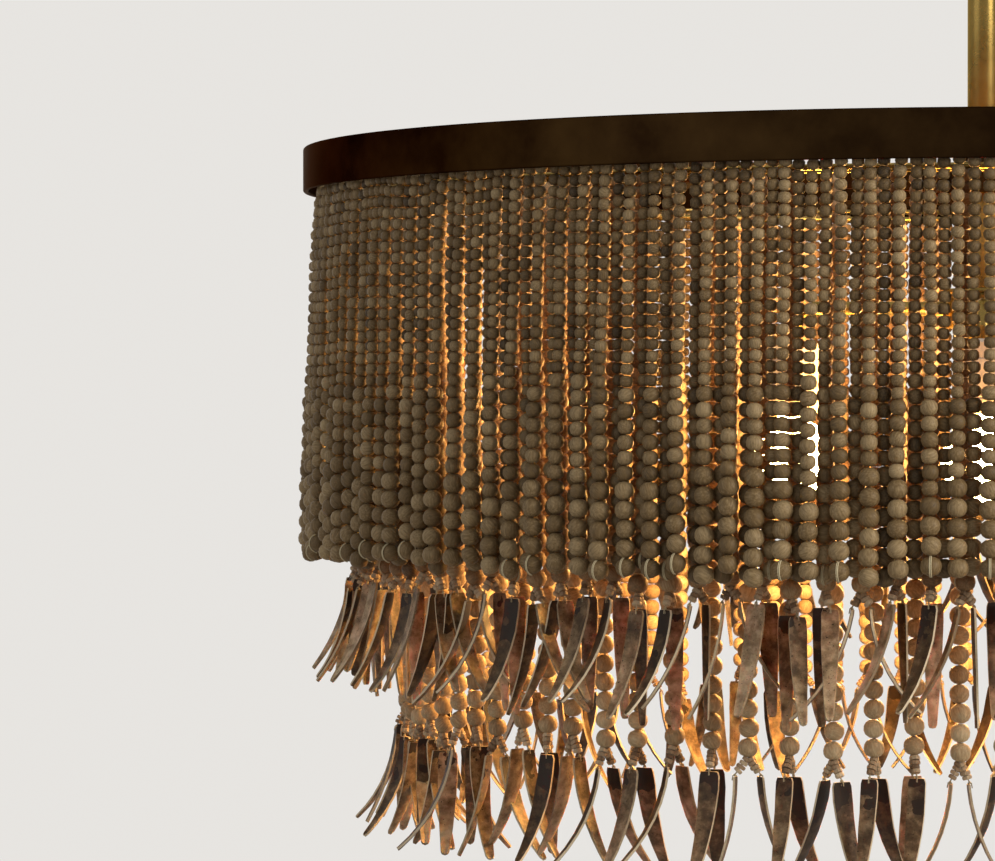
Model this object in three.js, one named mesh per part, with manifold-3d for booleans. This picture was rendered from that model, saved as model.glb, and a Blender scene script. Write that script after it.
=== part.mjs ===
// Beaded chandelier: three tiers of strung wooden beads hang from wire rails under a round metal band.
// A rod and a hang-straight swivel carry the band, the rails and four lamps from a ceiling canopy.
// Millimetres, +Z up. The origin is on the ceiling, at the middle of the fixing bar.

import * as THREE from 'three';
import { mergeVertices } from 'three/addons/utils/BufferGeometryUtils.js';
import Module from 'manifold-3d';

const wasm = await Module();
wasm.setup();

// Clearances shared by all pieces
const SEAT_GAP = 0.3; // between pieces that rest on or screw into each other
const CUT_OVERRUN = 2; // how far every cutting shape reaches past the face it cuts

// Fixing bar and its screws
const BAR_SCREW_SPACING = 70;
const BAR_PAST_SCREW = 17;
const BAR_WIDTH = 18;
const BAR_THICKNESS = 2.6;
const SCREW_SHANK_RADIUS = 2;
const SCREW_HEAD_RADIUS = 4;
const SCREW_HEAD_HEIGHT = 2.6;

// Nipple, canopy and collar nut
const NIPPLE_RADIUS = 5;
const NIPPLE_BORE_RADIUS = 3.6;
const CANOPY_RADIUS = 66;
const CANOPY_DEPTH = 25;
const CANOPY_RIM_HEIGHT = 7;
const CANOPY_WALL = 1.4;
const CANOPY_FLAT_RADIUS = 15;
const COLLAR_RADIUS = 11;
const COLLAR_HEIGHT = 9;
const COLLAR_CHAMFER = 1.5;

// Hang-straight swivel: a yoke, a cross pin and a knuckle
const YOKE_BOSS_HEIGHT = 15;
const YOKE_BORE_DEPTH = 9;
const SWIVEL_SIDE_GAP = 0.4;
const SWIVEL_END_GAP = 2.4;
const PIN_RADIUS = 2.5;
const EAR_RADIUS = 7.6;
const TONGUE_WIDTH = 8;
const TONGUE_RADIUS = 6.6;
const KNUCKLE_BODY_HEIGHT = 14;
const SPIGOT_LENGTH = 10;

// Stem rod
const ROD_RADIUS = 9;
const ROD_WALL = 1.5;
const ROD_LENGTH = 305;

// Hub and spokes
const HUB_RADIUS = 30;
const HUB_THICKNESS = 14;
const HUB_COLLAR_RADIUS = 13;
const HUB_COLLAR_HEIGHT = 12;
const SPOKE_COUNT = 4;
const SPOKE_WIDTH = 3;
const SPOKE_DEPTH = 12;
const SPOKE_END_DEPTH = 5.5;
const SPOKE_END_LENGTH = 17;
const SPOKE_SEAT_DEPTH = 10;

// Band and the rails under it
const BAND_RADIUS = 380;
const BAND_HEIGHT = 24;
const BAND_WALL = 3;
const BAND_EDGE_CHAMFER = 0.8;
const RAIL_WIRE_RADIUS = 1.5;
const RAIL_BELOW_BAND = 2;
const OUTER_RAIL_INSET = 11.5;
const OUTER_TO_MIDDLE_RAIL = 19;
const MIDDLE_TO_INNER_RAIL = 26.5;

// Strands: the header stands for the row of thread loops. A middle or inner column stands for one
// string of beads, and an outer one for two: one string in front of the rail and one behind it.
const HEADER_DEPTH = 6.4;
const HEADER_HEIGHT = 2.4;
const HEADER_END_GAP = 0.4;
const TOP_BEAD = 6;
const END_BEAD = 10;
// A column this share as thick as the bead holds as much wood as the string of round beads.
const COLUMN_SHARE = 0.72;
const CROTCH_DROP = 12;
const OUTER_PAIR_PITCH = 13.7;
const OUTER_PAIR_GAP = 4.2;
const OUTER_TOP_DEPTH = 4.5;
const OUTER_END_DEPTH = 12;
const OUTER_DROP = 201;
const OUTER_LEAN = 7;
const MIDDLE_STRAND_PITCH = 16.4;
const MIDDLE_DROP = 203;
const INNER_STRAND_PITCH = 20.8;
const INNER_DROP = 285;
const SLIVER_DROP = 60;
const TIP_OUTWARD_REACH = 15;
const TIP_INWARD_REACH = 8;

// Lamp cluster
const DROP_TUBE_RADIUS = 6.5;
const DROP_TUBE_WALL = 1.2;
const DROP_TUBE_LENGTH = 52;
const TUBE_SEAT_DEPTH = 7;
const CLUSTER_RADIUS = 22;
const CLUSTER_HEIGHT = 22;
const LAMP_COUNT = 4;
const LAMP_CIRCLE_RADIUS = 106;
const ARM_RADIUS = 4;
const ARM_BEND_RADIUS = 14;
const ARM_SEAT_DEPTH = 7;
const ARM_TAIL = 4;
const END_CAP_RADIUS = 10;
const END_CAP_HEIGHT = 14;

// Lamp holders and bulbs
const HOLDER_RADIUS = 14;
const HOLDER_HEIGHT = 40;
const HOLDER_CHAMFER = 2;
const HOLDER_BORE_DEPTH = 26;
const HOLDER_BORE_GAP = 1;
const BULB_BASE_RADIUS = 7;
const BULB_BASE_SEAT_GAP = 0.6;
const BULB_NECK_RADIUS = 9;
const BULB_NECK_LENGTH = 5;
const BULB_GLOBE_RADIUS = 22.5;

// Facets round each kind of turned piece
const RING_SIDES = 60;
const RAIL_STEPS = 48;
const RAIL_SIDES = 4;
const CANOPY_SIDES = 24;
const ROD_SIDES = 16;
const SMALL_SIDES = 12;
const ARM_SIDES = 8;
const ARM_STEPS = 12;
const ARC_STEPS = 4;

// Heights, from the ceiling down
const barBottom = -BAR_THICKNESS;
const collarTop = -CANOPY_DEPTH - SEAT_GAP;
const yokeTop = collarTop - COLLAR_HEIGHT - SEAT_GAP;
const yokeBossBottom = yokeTop - YOKE_BOSS_HEIGHT;
const nippleBottom = yokeTop - YOKE_BORE_DEPTH + SEAT_GAP;
const pinHeight = yokeBossBottom - TONGUE_RADIUS - SWIVEL_END_GAP;
const knuckleShoulder = pinHeight - EAR_RADIUS - SWIVEL_END_GAP;
const knuckleBottom = knuckleShoulder - KNUCKLE_BODY_HEIGHT;
const rodTop = knuckleBottom - SEAT_GAP;
const rodBottom = rodTop - ROD_LENGTH;
const hubCollarTop = rodBottom - SEAT_GAP;
const hubTop = hubCollarTop - HUB_COLLAR_HEIGHT;
const hubBottom = hubTop - HUB_THICKNESS;
const spokeHeight = (hubTop + hubBottom) / 2;
const spokeTop = spokeHeight + SPOKE_DEPTH / 2;
const spokeBottom = spokeHeight - SPOKE_DEPTH / 2;
const outerRailHeight = spokeTop - SPOKE_END_DEPTH - SEAT_GAP - RAIL_WIRE_RADIUS;
const innerRailHeight = spokeBottom - SEAT_GAP - RAIL_WIRE_RADIUS;
const bandBottom = innerRailHeight + RAIL_BELOW_BAND;
const bandTop = bandBottom + BAND_HEIGHT;
const clusterTop = hubBottom - DROP_TUBE_LENGTH;
const clusterBottom = clusterTop - CLUSTER_HEIGHT;
const armHeight = (clusterTop + clusterBottom) / 2;
const holderTop = armHeight - ARM_BEND_RADIUS - ARM_TAIL;
const holderBottom = holderTop - HOLDER_HEIGHT;

// Widths that follow from the sizes above
const rodBore = ROD_RADIUS - ROD_WALL;
const spigotRadius = rodBore - 2 * SEAT_GAP;
const bandInnerRadius = BAND_RADIUS - BAND_WALL;
const nippleHoleRadius = NIPPLE_RADIUS + 2 * SEAT_GAP;
const slotWidth = TONGUE_WIDTH + 2 * SWIVEL_SIDE_GAP;
const outerRailRadius = BAND_RADIUS - OUTER_RAIL_INSET;
const middleRailRadius = outerRailRadius - OUTER_TO_MIDDLE_RAIL;
const innerRailRadius = middleRailRadius - MIDDLE_TO_INNER_RAIL;

// Materials
const material = (color, metalness, roughness) => new THREE.MeshStandardMaterial({ color, metalness, roughness });
const brass = material(0x9a7b40, 1, 0.32);
const darkBronze = material(0x3f2d17, 1, 0.42);
const steel = material(0x9a9a96, 1, 0.4);
const palePaint = material(0xd9d2c4, 0, 0.5);
const opalGlass = material(0xfff0d2, 0, 0.2);
const outerWood = material(0xb9a688, 0, 0.75);
const middleWood = material(0xc2a986, 0, 0.72);
const innerWood = material(0xccb48f, 0, 0.7);

// A closed geometry as a solid that can be joined and cut. Its faces are turned outwards if need be.
function solidOf(geometry) {
  const bare = geometry.index ? geometry.toNonIndexed() : geometry.clone();
  bare.deleteAttribute('normal');
  bare.deleteAttribute('uv');
  const merged = mergeVertices(bare);
  const vertProperties = merged.attributes.position.array;
  const triVerts = new Uint32Array(merged.index.array);
  const solid = new wasm.Manifold(new wasm.Mesh({ numProp: 3, vertProperties, triVerts }));
  if (solid.volume() > 0) return solid;
  const flipped = triVerts.reverse();
  return new wasm.Manifold(new wasm.Mesh({ numProp: 3, vertProperties, triVerts: flipped }));
}

// A joined or cut solid as a geometry that three.js can show.
function geometryOf(solid) {
  const { vertProperties, triVerts } = solid.getMesh();
  const geometry = new THREE.BufferGeometry();
  geometry.setAttribute('position', new THREE.BufferAttribute(vertProperties, 3));
  geometry.setIndex(new THREE.BufferAttribute(triVerts, 1));
  geometry.computeVertexNormals();
  return geometry;
}

// A solid turned about Z from [radius, height] pairs that end on the axis or close on themselves.
function turned(profile, sides) {
  const points = profile.map(([radius, height]) => new THREE.Vector2(radius, height));
  return solidOf(new THREE.LatheGeometry(points, sides).rotateX(Math.PI / 2));
}

// A turned ring or tube: the profile closes on its first point.
function turnedRing(profile, sides) {
  return turned([...profile, profile[0]], sides);
}

// A plain rod about Z between two heights.
function rodAlongZ(radius, low, high, sides) {
  const rod = new THREE.CylinderGeometry(radius, radius, high - low, sides);
  return solidOf(rod.rotateX(Math.PI / 2).translate(0, 0, (low + high) / 2));
}

// A plain rod along X between two places, at one height.
function rodAlongX(radius, start, end, height, sides) {
  const rod = new THREE.CylinderGeometry(radius, radius, end - start, sides);
  return solidOf(rod.rotateZ(Math.PI / 2).translate((start + end) / 2, 0, height));
}

// A block between two corners.
function block([x0, y0, z0], [x1, y1, z1]) {
  const box = new THREE.BoxGeometry(x1 - x0, y1 - y0, z1 - z0);
  return solidOf(box.translate((x0 + x1) / 2, (y0 + y1) / 2, (z0 + z1) / 2));
}

// A quarter or other part of a circle as [radius, height] pairs, for use in a profile.
function arc(centreRadius, centreHeight, radius, startAngle, endAngle, steps) {
  return Array.from({ length: steps + 1 }, (_, i) => {
    const angle = startAngle + ((endAngle - startAngle) * i) / steps;
    return [centreRadius + radius * Math.cos(angle), centreHeight + radius * Math.sin(angle)];
  });
}

const chandelier = new THREE.Group();

// Adds one named piece, turned about the Z axis to its place.
function addPiece(name, solid, pieceMaterial, turn = 0) {
  const mesh = new THREE.Mesh(geometryOf(solid), pieceMaterial);
  mesh.name = name;
  mesh.rotation.z = turn;
  chandelier.add(mesh);
}

// Fixing bar: a steel strip with a hole for the nipple and one for each screw.
function makeFixingBar() {
  const low = barBottom - CUT_OVERRUN;
  const high = CUT_OVERRUN;
  const halfLength = BAR_SCREW_SPACING / 2 + BAR_PAST_SCREW;
  const strip = block([-halfLength, -BAR_WIDTH / 2, barBottom], [halfLength, BAR_WIDTH / 2, 0]);
  const nippleHole = rodAlongZ(nippleHoleRadius, low, high, SMALL_SIDES);
  const screwHole = new THREE.CylinderGeometry(
    SCREW_SHANK_RADIUS + SEAT_GAP, SCREW_SHANK_RADIUS + SEAT_GAP, high - low, SMALL_SIDES,
  ).rotateX(Math.PI / 2);
  const left = solidOf(screwHole.clone().translate(-BAR_SCREW_SPACING / 2, 0, (low + high) / 2));
  const right = solidOf(screwHole.clone().translate(BAR_SCREW_SPACING / 2, 0, (low + high) / 2));
  return strip.subtract(nippleHole).subtract(left).subtract(right);
}

// Screw of the fixing bar: a pan head under the bar and a shank that ends at the ceiling.
function makeBarScrew(side) {
  const headTop = barBottom - SEAT_GAP;
  const headBottom = headTop - SCREW_HEAD_HEIGHT;
  const profile = [
    [0, 0],
    [SCREW_SHANK_RADIUS, 0],
    [SCREW_SHANK_RADIUS, headTop],
    [SCREW_HEAD_RADIUS, headTop],
    [SCREW_SHANK_RADIUS, headBottom],
    [0, headBottom],
  ];
  const points = profile.map(([radius, height]) => new THREE.Vector2(radius, height));
  const screw = new THREE.LatheGeometry(points, SMALL_SIDES).rotateX(Math.PI / 2);
  return solidOf(screw.translate((side * BAR_SCREW_SPACING) / 2, 0, 0));
}

// Nipple: the hollow threaded tube that carries the load and lets the wires through.
function makeNipple() {
  return turnedRing([
    [NIPPLE_BORE_RADIUS, nippleBottom],
    [NIPPLE_RADIUS, nippleBottom],
    [NIPPLE_RADIUS, 0],
    [NIPPLE_BORE_RADIUS, 0],
  ], SMALL_SIDES);
}

// Canopy: a spun dish that is open to the ceiling and pierced for the nipple.
function makeCanopy() {
  const flatBottom = -CANOPY_DEPTH;
  const slopeStart = -CANOPY_RIM_HEIGHT;
  const innerRadius = CANOPY_RADIUS - CANOPY_WALL;
  return turnedRing([
    [nippleHoleRadius, flatBottom],
    [CANOPY_FLAT_RADIUS, flatBottom],
    [(CANOPY_FLAT_RADIUS + CANOPY_RADIUS) / 2, (flatBottom * 3 + slopeStart) / 4],
    [CANOPY_RADIUS, slopeStart],
    [CANOPY_RADIUS, 0],
    [innerRadius, 0],
    [innerRadius, slopeStart + CANOPY_WALL],
    [(CANOPY_FLAT_RADIUS + innerRadius) / 2, (flatBottom * 3 + slopeStart) / 4 + CANOPY_WALL],
    [CANOPY_FLAT_RADIUS, flatBottom + CANOPY_WALL],
    [nippleHoleRadius, flatBottom + CANOPY_WALL],
  ], CANOPY_SIDES);
}

// Collar nut: screws up the nipple and holds the canopy against the ceiling.
function makeCollarNut() {
  const bottom = collarTop - COLLAR_HEIGHT;
  return turnedRing([
    [nippleHoleRadius, bottom],
    [COLLAR_RADIUS - COLLAR_CHAMFER, bottom],
    [COLLAR_RADIUS, bottom + COLLAR_CHAMFER],
    [COLLAR_RADIUS, collarTop],
    [nippleHoleRadius, collarTop],
  ], ROD_SIDES);
}

// Yoke: a boss on the nipple and two round-ended ears with the cross pin's hole.
function makeYoke() {
  const earTop = yokeBossBottom + CUT_OVERRUN;
  const boss = rodAlongZ(ROD_RADIUS, yokeBossBottom, yokeTop, ROD_SIDES);
  const cheeks = block([-ROD_RADIUS, -EAR_RADIUS, pinHeight], [ROD_RADIUS, EAR_RADIUS, earTop]);
  const roundEnds = rodAlongX(EAR_RADIUS, -ROD_RADIUS, ROD_RADIUS, pinHeight, ROD_SIDES);
  const envelope = rodAlongZ(ROD_RADIUS, pinHeight - EAR_RADIUS - CUT_OVERRUN, earTop, ROD_SIDES);
  const slot = block(
    [-slotWidth / 2, -ROD_RADIUS - CUT_OVERRUN, pinHeight - EAR_RADIUS - CUT_OVERRUN],
    [slotWidth / 2, ROD_RADIUS + CUT_OVERRUN, yokeBossBottom],
  );
  const bore = rodAlongZ(nippleHoleRadius, yokeTop - YOKE_BORE_DEPTH, yokeTop + CUT_OVERRUN, SMALL_SIDES);
  const pinHole = rodAlongX(
    PIN_RADIUS + 2 * SEAT_GAP, -ROD_RADIUS - CUT_OVERRUN, ROD_RADIUS + CUT_OVERRUN, pinHeight, SMALL_SIDES,
  );
  const ears = cheeks.add(roundEnds).intersect(envelope);
  return boss.add(ears).subtract(slot).subtract(bore).subtract(pinHole);
}

// Knuckle: a tongue on the cross pin, and a body whose spigot enters the stem rod.
function makeKnuckle() {
  const halfTongue = TONGUE_WIDTH / 2;
  const web = block(
    [-halfTongue, -TONGUE_RADIUS, knuckleShoulder - CUT_OVERRUN],
    [halfTongue, TONGUE_RADIUS, pinHeight],
  );
  const roundTop = rodAlongX(TONGUE_RADIUS, -halfTongue, halfTongue, pinHeight, ROD_SIDES);
  const pinHole = rodAlongX(
    PIN_RADIUS + 2 * SEAT_GAP, -ROD_RADIUS, ROD_RADIUS, pinHeight, SMALL_SIDES,
  );
  const body = turned([
    [0, knuckleShoulder],
    [ROD_RADIUS, knuckleShoulder],
    [ROD_RADIUS, knuckleBottom],
    [spigotRadius, knuckleBottom],
    [spigotRadius, rodTop - SPIGOT_LENGTH],
    [0, rodTop - SPIGOT_LENGTH],
  ], ROD_SIDES);
  return body.add(web.add(roundTop).subtract(pinHole));
}

// Stem rod: the brass tube between the swivel and the hub.
function makeStemRod() {
  return turnedRing([
    [rodBore, rodBottom],
    [ROD_RADIUS, rodBottom],
    [ROD_RADIUS, rodTop],
    [rodBore, rodTop],
  ], ROD_SIDES);
}

// Hub: carries the rod's end above, the spokes at its side and the drop tube below.
function makeHub() {
  const body = turned([
    [0, rodBottom + SPIGOT_LENGTH],
    [spigotRadius, rodBottom + SPIGOT_LENGTH],
    [spigotRadius, hubCollarTop],
    [HUB_COLLAR_RADIUS, hubCollarTop],
    [HUB_COLLAR_RADIUS, hubTop],
    [HUB_RADIUS, hubTop],
    [HUB_RADIUS, hubBottom],
    [0, hubBottom],
  ], CANOPY_SIDES);
  const tubeSeat = rodAlongZ(
    DROP_TUBE_RADIUS + 2 * SEAT_GAP, hubBottom - CUT_OVERRUN, hubBottom + TUBE_SEAT_DEPTH, SMALL_SIDES,
  );
  const spokeSeat = new THREE.BoxGeometry(
    SPOKE_SEAT_DEPTH + CUT_OVERRUN, SPOKE_WIDTH + 2 * SEAT_GAP, HUB_THICKNESS + 2 * CUT_OVERRUN,
  );
  spokeSeat.translate(HUB_RADIUS + (CUT_OVERRUN - SPOKE_SEAT_DEPTH) / 2, 0, spokeHeight);
  const seats = spokeTurns.map((turn) => solidOf(spokeSeat.clone().rotateZ(turn)));
  return seats.reduce((hub, seat) => hub.subtract(seat), body.subtract(tubeSeat));
}

// Spoke: a flat bar on edge from its slot in the hub to the inside of the band.
// Its end is shallower, so that the outer rail and the strands on it pass below.
function makeSpoke() {
  const start = HUB_RADIUS - SPOKE_SEAT_DEPTH + SEAT_GAP;
  const end = bandInnerRadius * Math.cos(Math.PI / RING_SIDES) - SEAT_GAP;
  const stepAt = end - SPOKE_END_LENGTH;
  const side = new THREE.Shape([
    new THREE.Vector2(start, spokeBottom),
    new THREE.Vector2(stepAt, spokeBottom),
    new THREE.Vector2(stepAt, spokeTop - SPOKE_END_DEPTH),
    new THREE.Vector2(end, spokeTop - SPOKE_END_DEPTH),
    new THREE.Vector2(end, spokeTop),
    new THREE.Vector2(start, spokeTop),
  ]);
  const bar = new THREE.ExtrudeGeometry(side, { depth: SPOKE_WIDTH, steps: 1, bevelEnabled: false });
  return solidOf(bar.translate(0, 0, -SPOKE_WIDTH / 2).rotateX(Math.PI / 2));
}

// Band: the plain hoop round the top of the shade, with its outer edges eased.
function makeBand() {
  return turnedRing([
    [bandInnerRadius, bandBottom],
    [BAND_RADIUS - BAND_EDGE_CHAMFER, bandBottom],
    [BAND_RADIUS, bandBottom + BAND_EDGE_CHAMFER],
    [BAND_RADIUS, bandTop - BAND_EDGE_CHAMFER],
    [BAND_RADIUS - BAND_EDGE_CHAMFER, bandTop],
    [bandInnerRadius, bandTop],
  ], RING_SIDES);
}

// Rail: the wire hoop that one tier's threads are tied to.
function makeRail(radius, height) {
  const hoop = new THREE.TorusGeometry(radius, RAIL_WIRE_RADIUS, RAIL_SIDES, RAIL_STEPS);
  return solidOf(hoop.translate(0, 0, height));
}

// Drop tube: from its seat in the hub to its seat in the cluster body.
function makeDropTube() {
  const top = hubBottom + TUBE_SEAT_DEPTH - SEAT_GAP;
  const bottom = clusterTop - TUBE_SEAT_DEPTH + SEAT_GAP;
  const bore = DROP_TUBE_RADIUS - DROP_TUBE_WALL;
  return turnedRing([[bore, bottom], [DROP_TUBE_RADIUS, bottom], [DROP_TUBE_RADIUS, top], [bore, top]], SMALL_SIDES);
}

// Cluster body: a short drum with a seat for the drop tube and one for each lamp arm.
function makeClusterBody() {
  const drum = rodAlongZ(CLUSTER_RADIUS, clusterBottom, clusterTop, ROD_SIDES);
  const tubeSeat = rodAlongZ(
    DROP_TUBE_RADIUS + 2 * SEAT_GAP, clusterTop - TUBE_SEAT_DEPTH, clusterTop + CUT_OVERRUN, SMALL_SIDES,
  );
  const armSeat = new THREE.CylinderGeometry(
    ARM_RADIUS + 2 * SEAT_GAP, ARM_RADIUS + 2 * SEAT_GAP, ARM_SEAT_DEPTH + CUT_OVERRUN, SMALL_SIDES,
  );
  armSeat.rotateZ(Math.PI / 2);
  armSeat.translate(CLUSTER_RADIUS + (CUT_OVERRUN - ARM_SEAT_DEPTH) / 2, 0, armHeight);
  const seats = lampTurns.map((turn) => solidOf(armSeat.clone().rotateZ(turn)));
  return seats.reduce((cluster, seat) => cluster.subtract(seat), drum.subtract(tubeSeat));
}

// End cap: a small dome that closes the cluster body from below.
function makeEndCap() {
  const top = clusterBottom - SEAT_GAP;
  const shoulder = top - END_CAP_HEIGHT + END_CAP_RADIUS;
  const dome = arc(0, shoulder, END_CAP_RADIUS, 0, -Math.PI / 2, ARC_STEPS).slice(0, -1);
  return turned([[0, top], [END_CAP_RADIUS, top], ...dome, [0, top - END_CAP_HEIGHT]], SMALL_SIDES);
}

// The line that an arm follows, out from the cluster and down into its holder.
class ArmLine extends THREE.Curve {
  constructor() {
    super();
    this.start = CLUSTER_RADIUS - ARM_SEAT_DEPTH + SEAT_GAP;
    this.bendStart = LAMP_CIRCLE_RADIUS - ARM_BEND_RADIUS;
    this.runLength = this.bendStart - this.start;
    this.bendLength = (ARM_BEND_RADIUS * Math.PI) / 2;
    this.tailLength = ARM_TAIL + ARM_SEAT_DEPTH - SEAT_GAP;
  }

  getPoint(share) {
    const way = share * (this.runLength + this.bendLength + this.tailLength);
    if (way <= this.runLength) return new THREE.Vector3(this.start + way, 0, armHeight);
    const angle = Math.min(way - this.runLength, this.bendLength) / ARM_BEND_RADIUS;
    const tail = Math.max(way - this.runLength - this.bendLength, 0);
    const x = this.bendStart + ARM_BEND_RADIUS * Math.sin(angle);
    return new THREE.Vector3(x, 0, armHeight - ARM_BEND_RADIUS * (1 - Math.cos(angle)) - tail);
  }
}

// Lamp arm: a bent tube, drawn as a many-sided section along its line.
function makeLampArm() {
  const section = new THREE.Shape(Array.from({ length: ARM_SIDES }, (_, i) => {
    const angle = (2 * Math.PI * i) / ARM_SIDES;
    return new THREE.Vector2(ARM_RADIUS * Math.cos(angle), ARM_RADIUS * Math.sin(angle));
  }));
  return solidOf(new THREE.ExtrudeGeometry(section, {
    extrudePath: new ArmLine(), steps: ARM_STEPS, bevelEnabled: false,
  }));
}

// Turns a solid profile into a piece that stands on the lamp circle.
function turnedAtLamp(profile, sides) {
  const points = profile.map(([radius, height]) => new THREE.Vector2(radius, height));
  const piece = new THREE.LatheGeometry(points, sides).rotateX(Math.PI / 2);
  return solidOf(piece.translate(LAMP_CIRCLE_RADIUS, 0, 0));
}

// Lamp holder: a cup that faces down, with a seat for the arm in its top.
function makeLampHolder() {
  const boreRadius = BULB_BASE_RADIUS + HOLDER_BORE_GAP;
  const boreTop = holderBottom + HOLDER_BORE_DEPTH;
  const armSeatRadius = ARM_RADIUS + 2 * SEAT_GAP;
  const armSeatBottom = holderTop - ARM_SEAT_DEPTH;
  return turnedAtLamp([
    [0, armSeatBottom],
    [armSeatRadius, armSeatBottom],
    [armSeatRadius, holderTop],
    [HOLDER_RADIUS - HOLDER_CHAMFER, holderTop],
    [HOLDER_RADIUS, holderTop - HOLDER_CHAMFER],
    [HOLDER_RADIUS, holderBottom],
    [boreRadius, holderBottom],
    [boreRadius, boreTop],
    [0, boreTop],
  ], SMALL_SIDES);
}

// Bulb: a threaded base in the holder, a short neck and a round globe below.
function makeBulb() {
  const baseTop = holderBottom + HOLDER_BORE_DEPTH - BULB_BASE_SEAT_GAP;
  const neckTop = holderBottom - SEAT_GAP;
  const neckAngle = Math.acos(BULB_NECK_RADIUS / BULB_GLOBE_RADIUS);
  const globeCentre = neckTop - BULB_NECK_LENGTH - BULB_GLOBE_RADIUS * Math.sin(neckAngle);
  const globe = arc(0, globeCentre, BULB_GLOBE_RADIUS, neckAngle, -Math.PI / 2, ARC_STEPS + 1).slice(0, -1);
  return turnedAtLamp([
    [0, baseTop],
    [BULB_BASE_RADIUS, baseTop],
    [BULB_BASE_RADIUS, neckTop],
    [BULB_NECK_RADIUS, neckTop],
    ...globe,
    [0, globeCentre - BULB_GLOBE_RADIUS],
  ], SMALL_SIDES);
}

// Outline of a pair of plain strings, seen from the side: outwards is +X and down is -Y.
function plainPairOutline(drop, lean, topDepth, endDepth) {
  return [
    [-topDepth / 2, 0],
    [lean - endDepth / 2, -drop],
    [lean + endDepth / 2, -drop],
    [topDepth / 2, 0],
  ];
}

// Outline of a string that ends in a pair of slivers, which spread from a crotch below the last bead.
function sliverStringOutline(beadDrop) {
  const tipDrop = beadDrop + SLIVER_DROP;
  const topHalf = (TOP_BEAD * COLUMN_SHARE) / 2;
  const endHalf = (END_BEAD * COLUMN_SHARE) / 2;
  return [
    [-topHalf, 0],
    [-endHalf, -beadDrop],
    [-TIP_INWARD_REACH, -tipDrop],
    [0, -beadDrop - CROTCH_DROP],
    [TIP_OUTWARD_REACH, -tipDrop],
    [endHalf, -beadDrop],
    [topHalf, 0],
  ];
}

// One panel of a tier: a curved header under the rail with its strings of beads joined to it.
function makeStrandPanel({ railRadius, railHeight, panels, pitch, width, outline }) {
  const panelAngle = (2 * Math.PI) / panels;
  const strandCount = Math.floor((railRadius * panelAngle) / pitch);
  const headerTop = railHeight - RAIL_WIRE_RADIUS - SEAT_GAP;
  const endAngle = panelAngle / 2 - HEADER_END_GAP / railRadius;
  const plan = new THREE.Shape();
  plan.absarc(0, 0, railRadius + HEADER_DEPTH / 2, -endAngle, endAngle, false);
  plan.absarc(0, 0, railRadius - HEADER_DEPTH / 2, endAngle, -endAngle, true);
  // three.js takes two steps along an arc for each of these.
  const curveSegments = RAIL_STEPS / panels / 2;
  const strip = new THREE.ExtrudeGeometry(plan, {
    depth: HEADER_HEIGHT, steps: 1, curveSegments, bevelEnabled: false,
  });
  const header = solidOf(strip.translate(0, 0, headerTop - HEADER_HEIGHT));

  const side = new THREE.Shape(outline.map(([outwards, up]) => new THREE.Vector2(outwards, up)));
  const string = new THREE.ExtrudeGeometry(side, { depth: width, steps: 1, bevelEnabled: false });
  string.translate(0, 0, -width / 2).rotateX(Math.PI / 2);
  string.translate(railRadius, 0, headerTop - HEADER_HEIGHT / 2);
  const strings = Array.from({ length: strandCount }, (_, i) => {
    const azimuth = ((i + 1 / 2) / strandCount - 1 / 2) * panelAngle;
    return solidOf(string.clone().rotateZ(azimuth));
  });
  return wasm.Manifold.union([header, ...strings]);
}

// How each tier of strands is laid out
const columnWidth = END_BEAD * COLUMN_SHARE;
const tiers = [
  {
    name: 'outer_strands',
    panels: 12,
    railRadius: outerRailRadius,
    railHeight: outerRailHeight,
    pitch: OUTER_PAIR_PITCH,
    width: OUTER_PAIR_PITCH - OUTER_PAIR_GAP,
    outline: plainPairOutline(OUTER_DROP, OUTER_LEAN, OUTER_TOP_DEPTH, OUTER_END_DEPTH),
    wood: outerWood,
  },
  {
    name: 'middle_strands',
    panels: 6,
    railRadius: middleRailRadius,
    railHeight: innerRailHeight,
    pitch: MIDDLE_STRAND_PITCH,
    width: columnWidth,
    outline: sliverStringOutline(MIDDLE_DROP),
    wood: middleWood,
  },
  {
    name: 'inner_strands',
    panels: 6,
    railRadius: innerRailRadius,
    railHeight: innerRailHeight,
    pitch: INNER_STRAND_PITCH,
    width: columnWidth,
    outline: sliverStringOutline(INNER_DROP),
    wood: innerWood,
  },
];

// Directions of the spokes and of the lamps, from +X towards +Y
const spokeTurns = Array.from({ length: SPOKE_COUNT }, (_, i) => ((i + 1 / 2) * 2 * Math.PI) / SPOKE_COUNT);
const lampTurns = Array.from({ length: LAMP_COUNT }, (_, i) => (i * 2 * Math.PI) / LAMP_COUNT);

// Ceiling fixing
addPiece('fixing_bar', makeFixingBar(), steel);
addPiece('bar_screw_left', makeBarScrew(-1), steel);
addPiece('bar_screw_right', makeBarScrew(1), steel);
addPiece('nipple', makeNipple(), steel);
addPiece('ceiling_canopy', makeCanopy(), brass);
addPiece('collar_nut', makeCollarNut(), brass);

// Swivel and stem
addPiece('swivel_yoke', makeYoke(), brass);
addPiece('swivel_pin', rodAlongX(PIN_RADIUS, -ROD_RADIUS, ROD_RADIUS, pinHeight, SMALL_SIDES), steel);
addPiece('swivel_knuckle', makeKnuckle(), brass);
addPiece('stem_rod', makeStemRod(), brass);

// Frame of the shade
addPiece('hub', makeHub(), darkBronze);
spokeTurns.forEach((turn, i) => addPiece(`spoke_${i + 1}`, makeSpoke(), darkBronze, turn));
addPiece('band', makeBand(), darkBronze);
addPiece('outer_rail', makeRail(outerRailRadius, outerRailHeight), brass);
addPiece('middle_rail', makeRail(middleRailRadius, innerRailHeight), brass);
addPiece('inner_rail', makeRail(innerRailRadius, innerRailHeight), brass);

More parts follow.
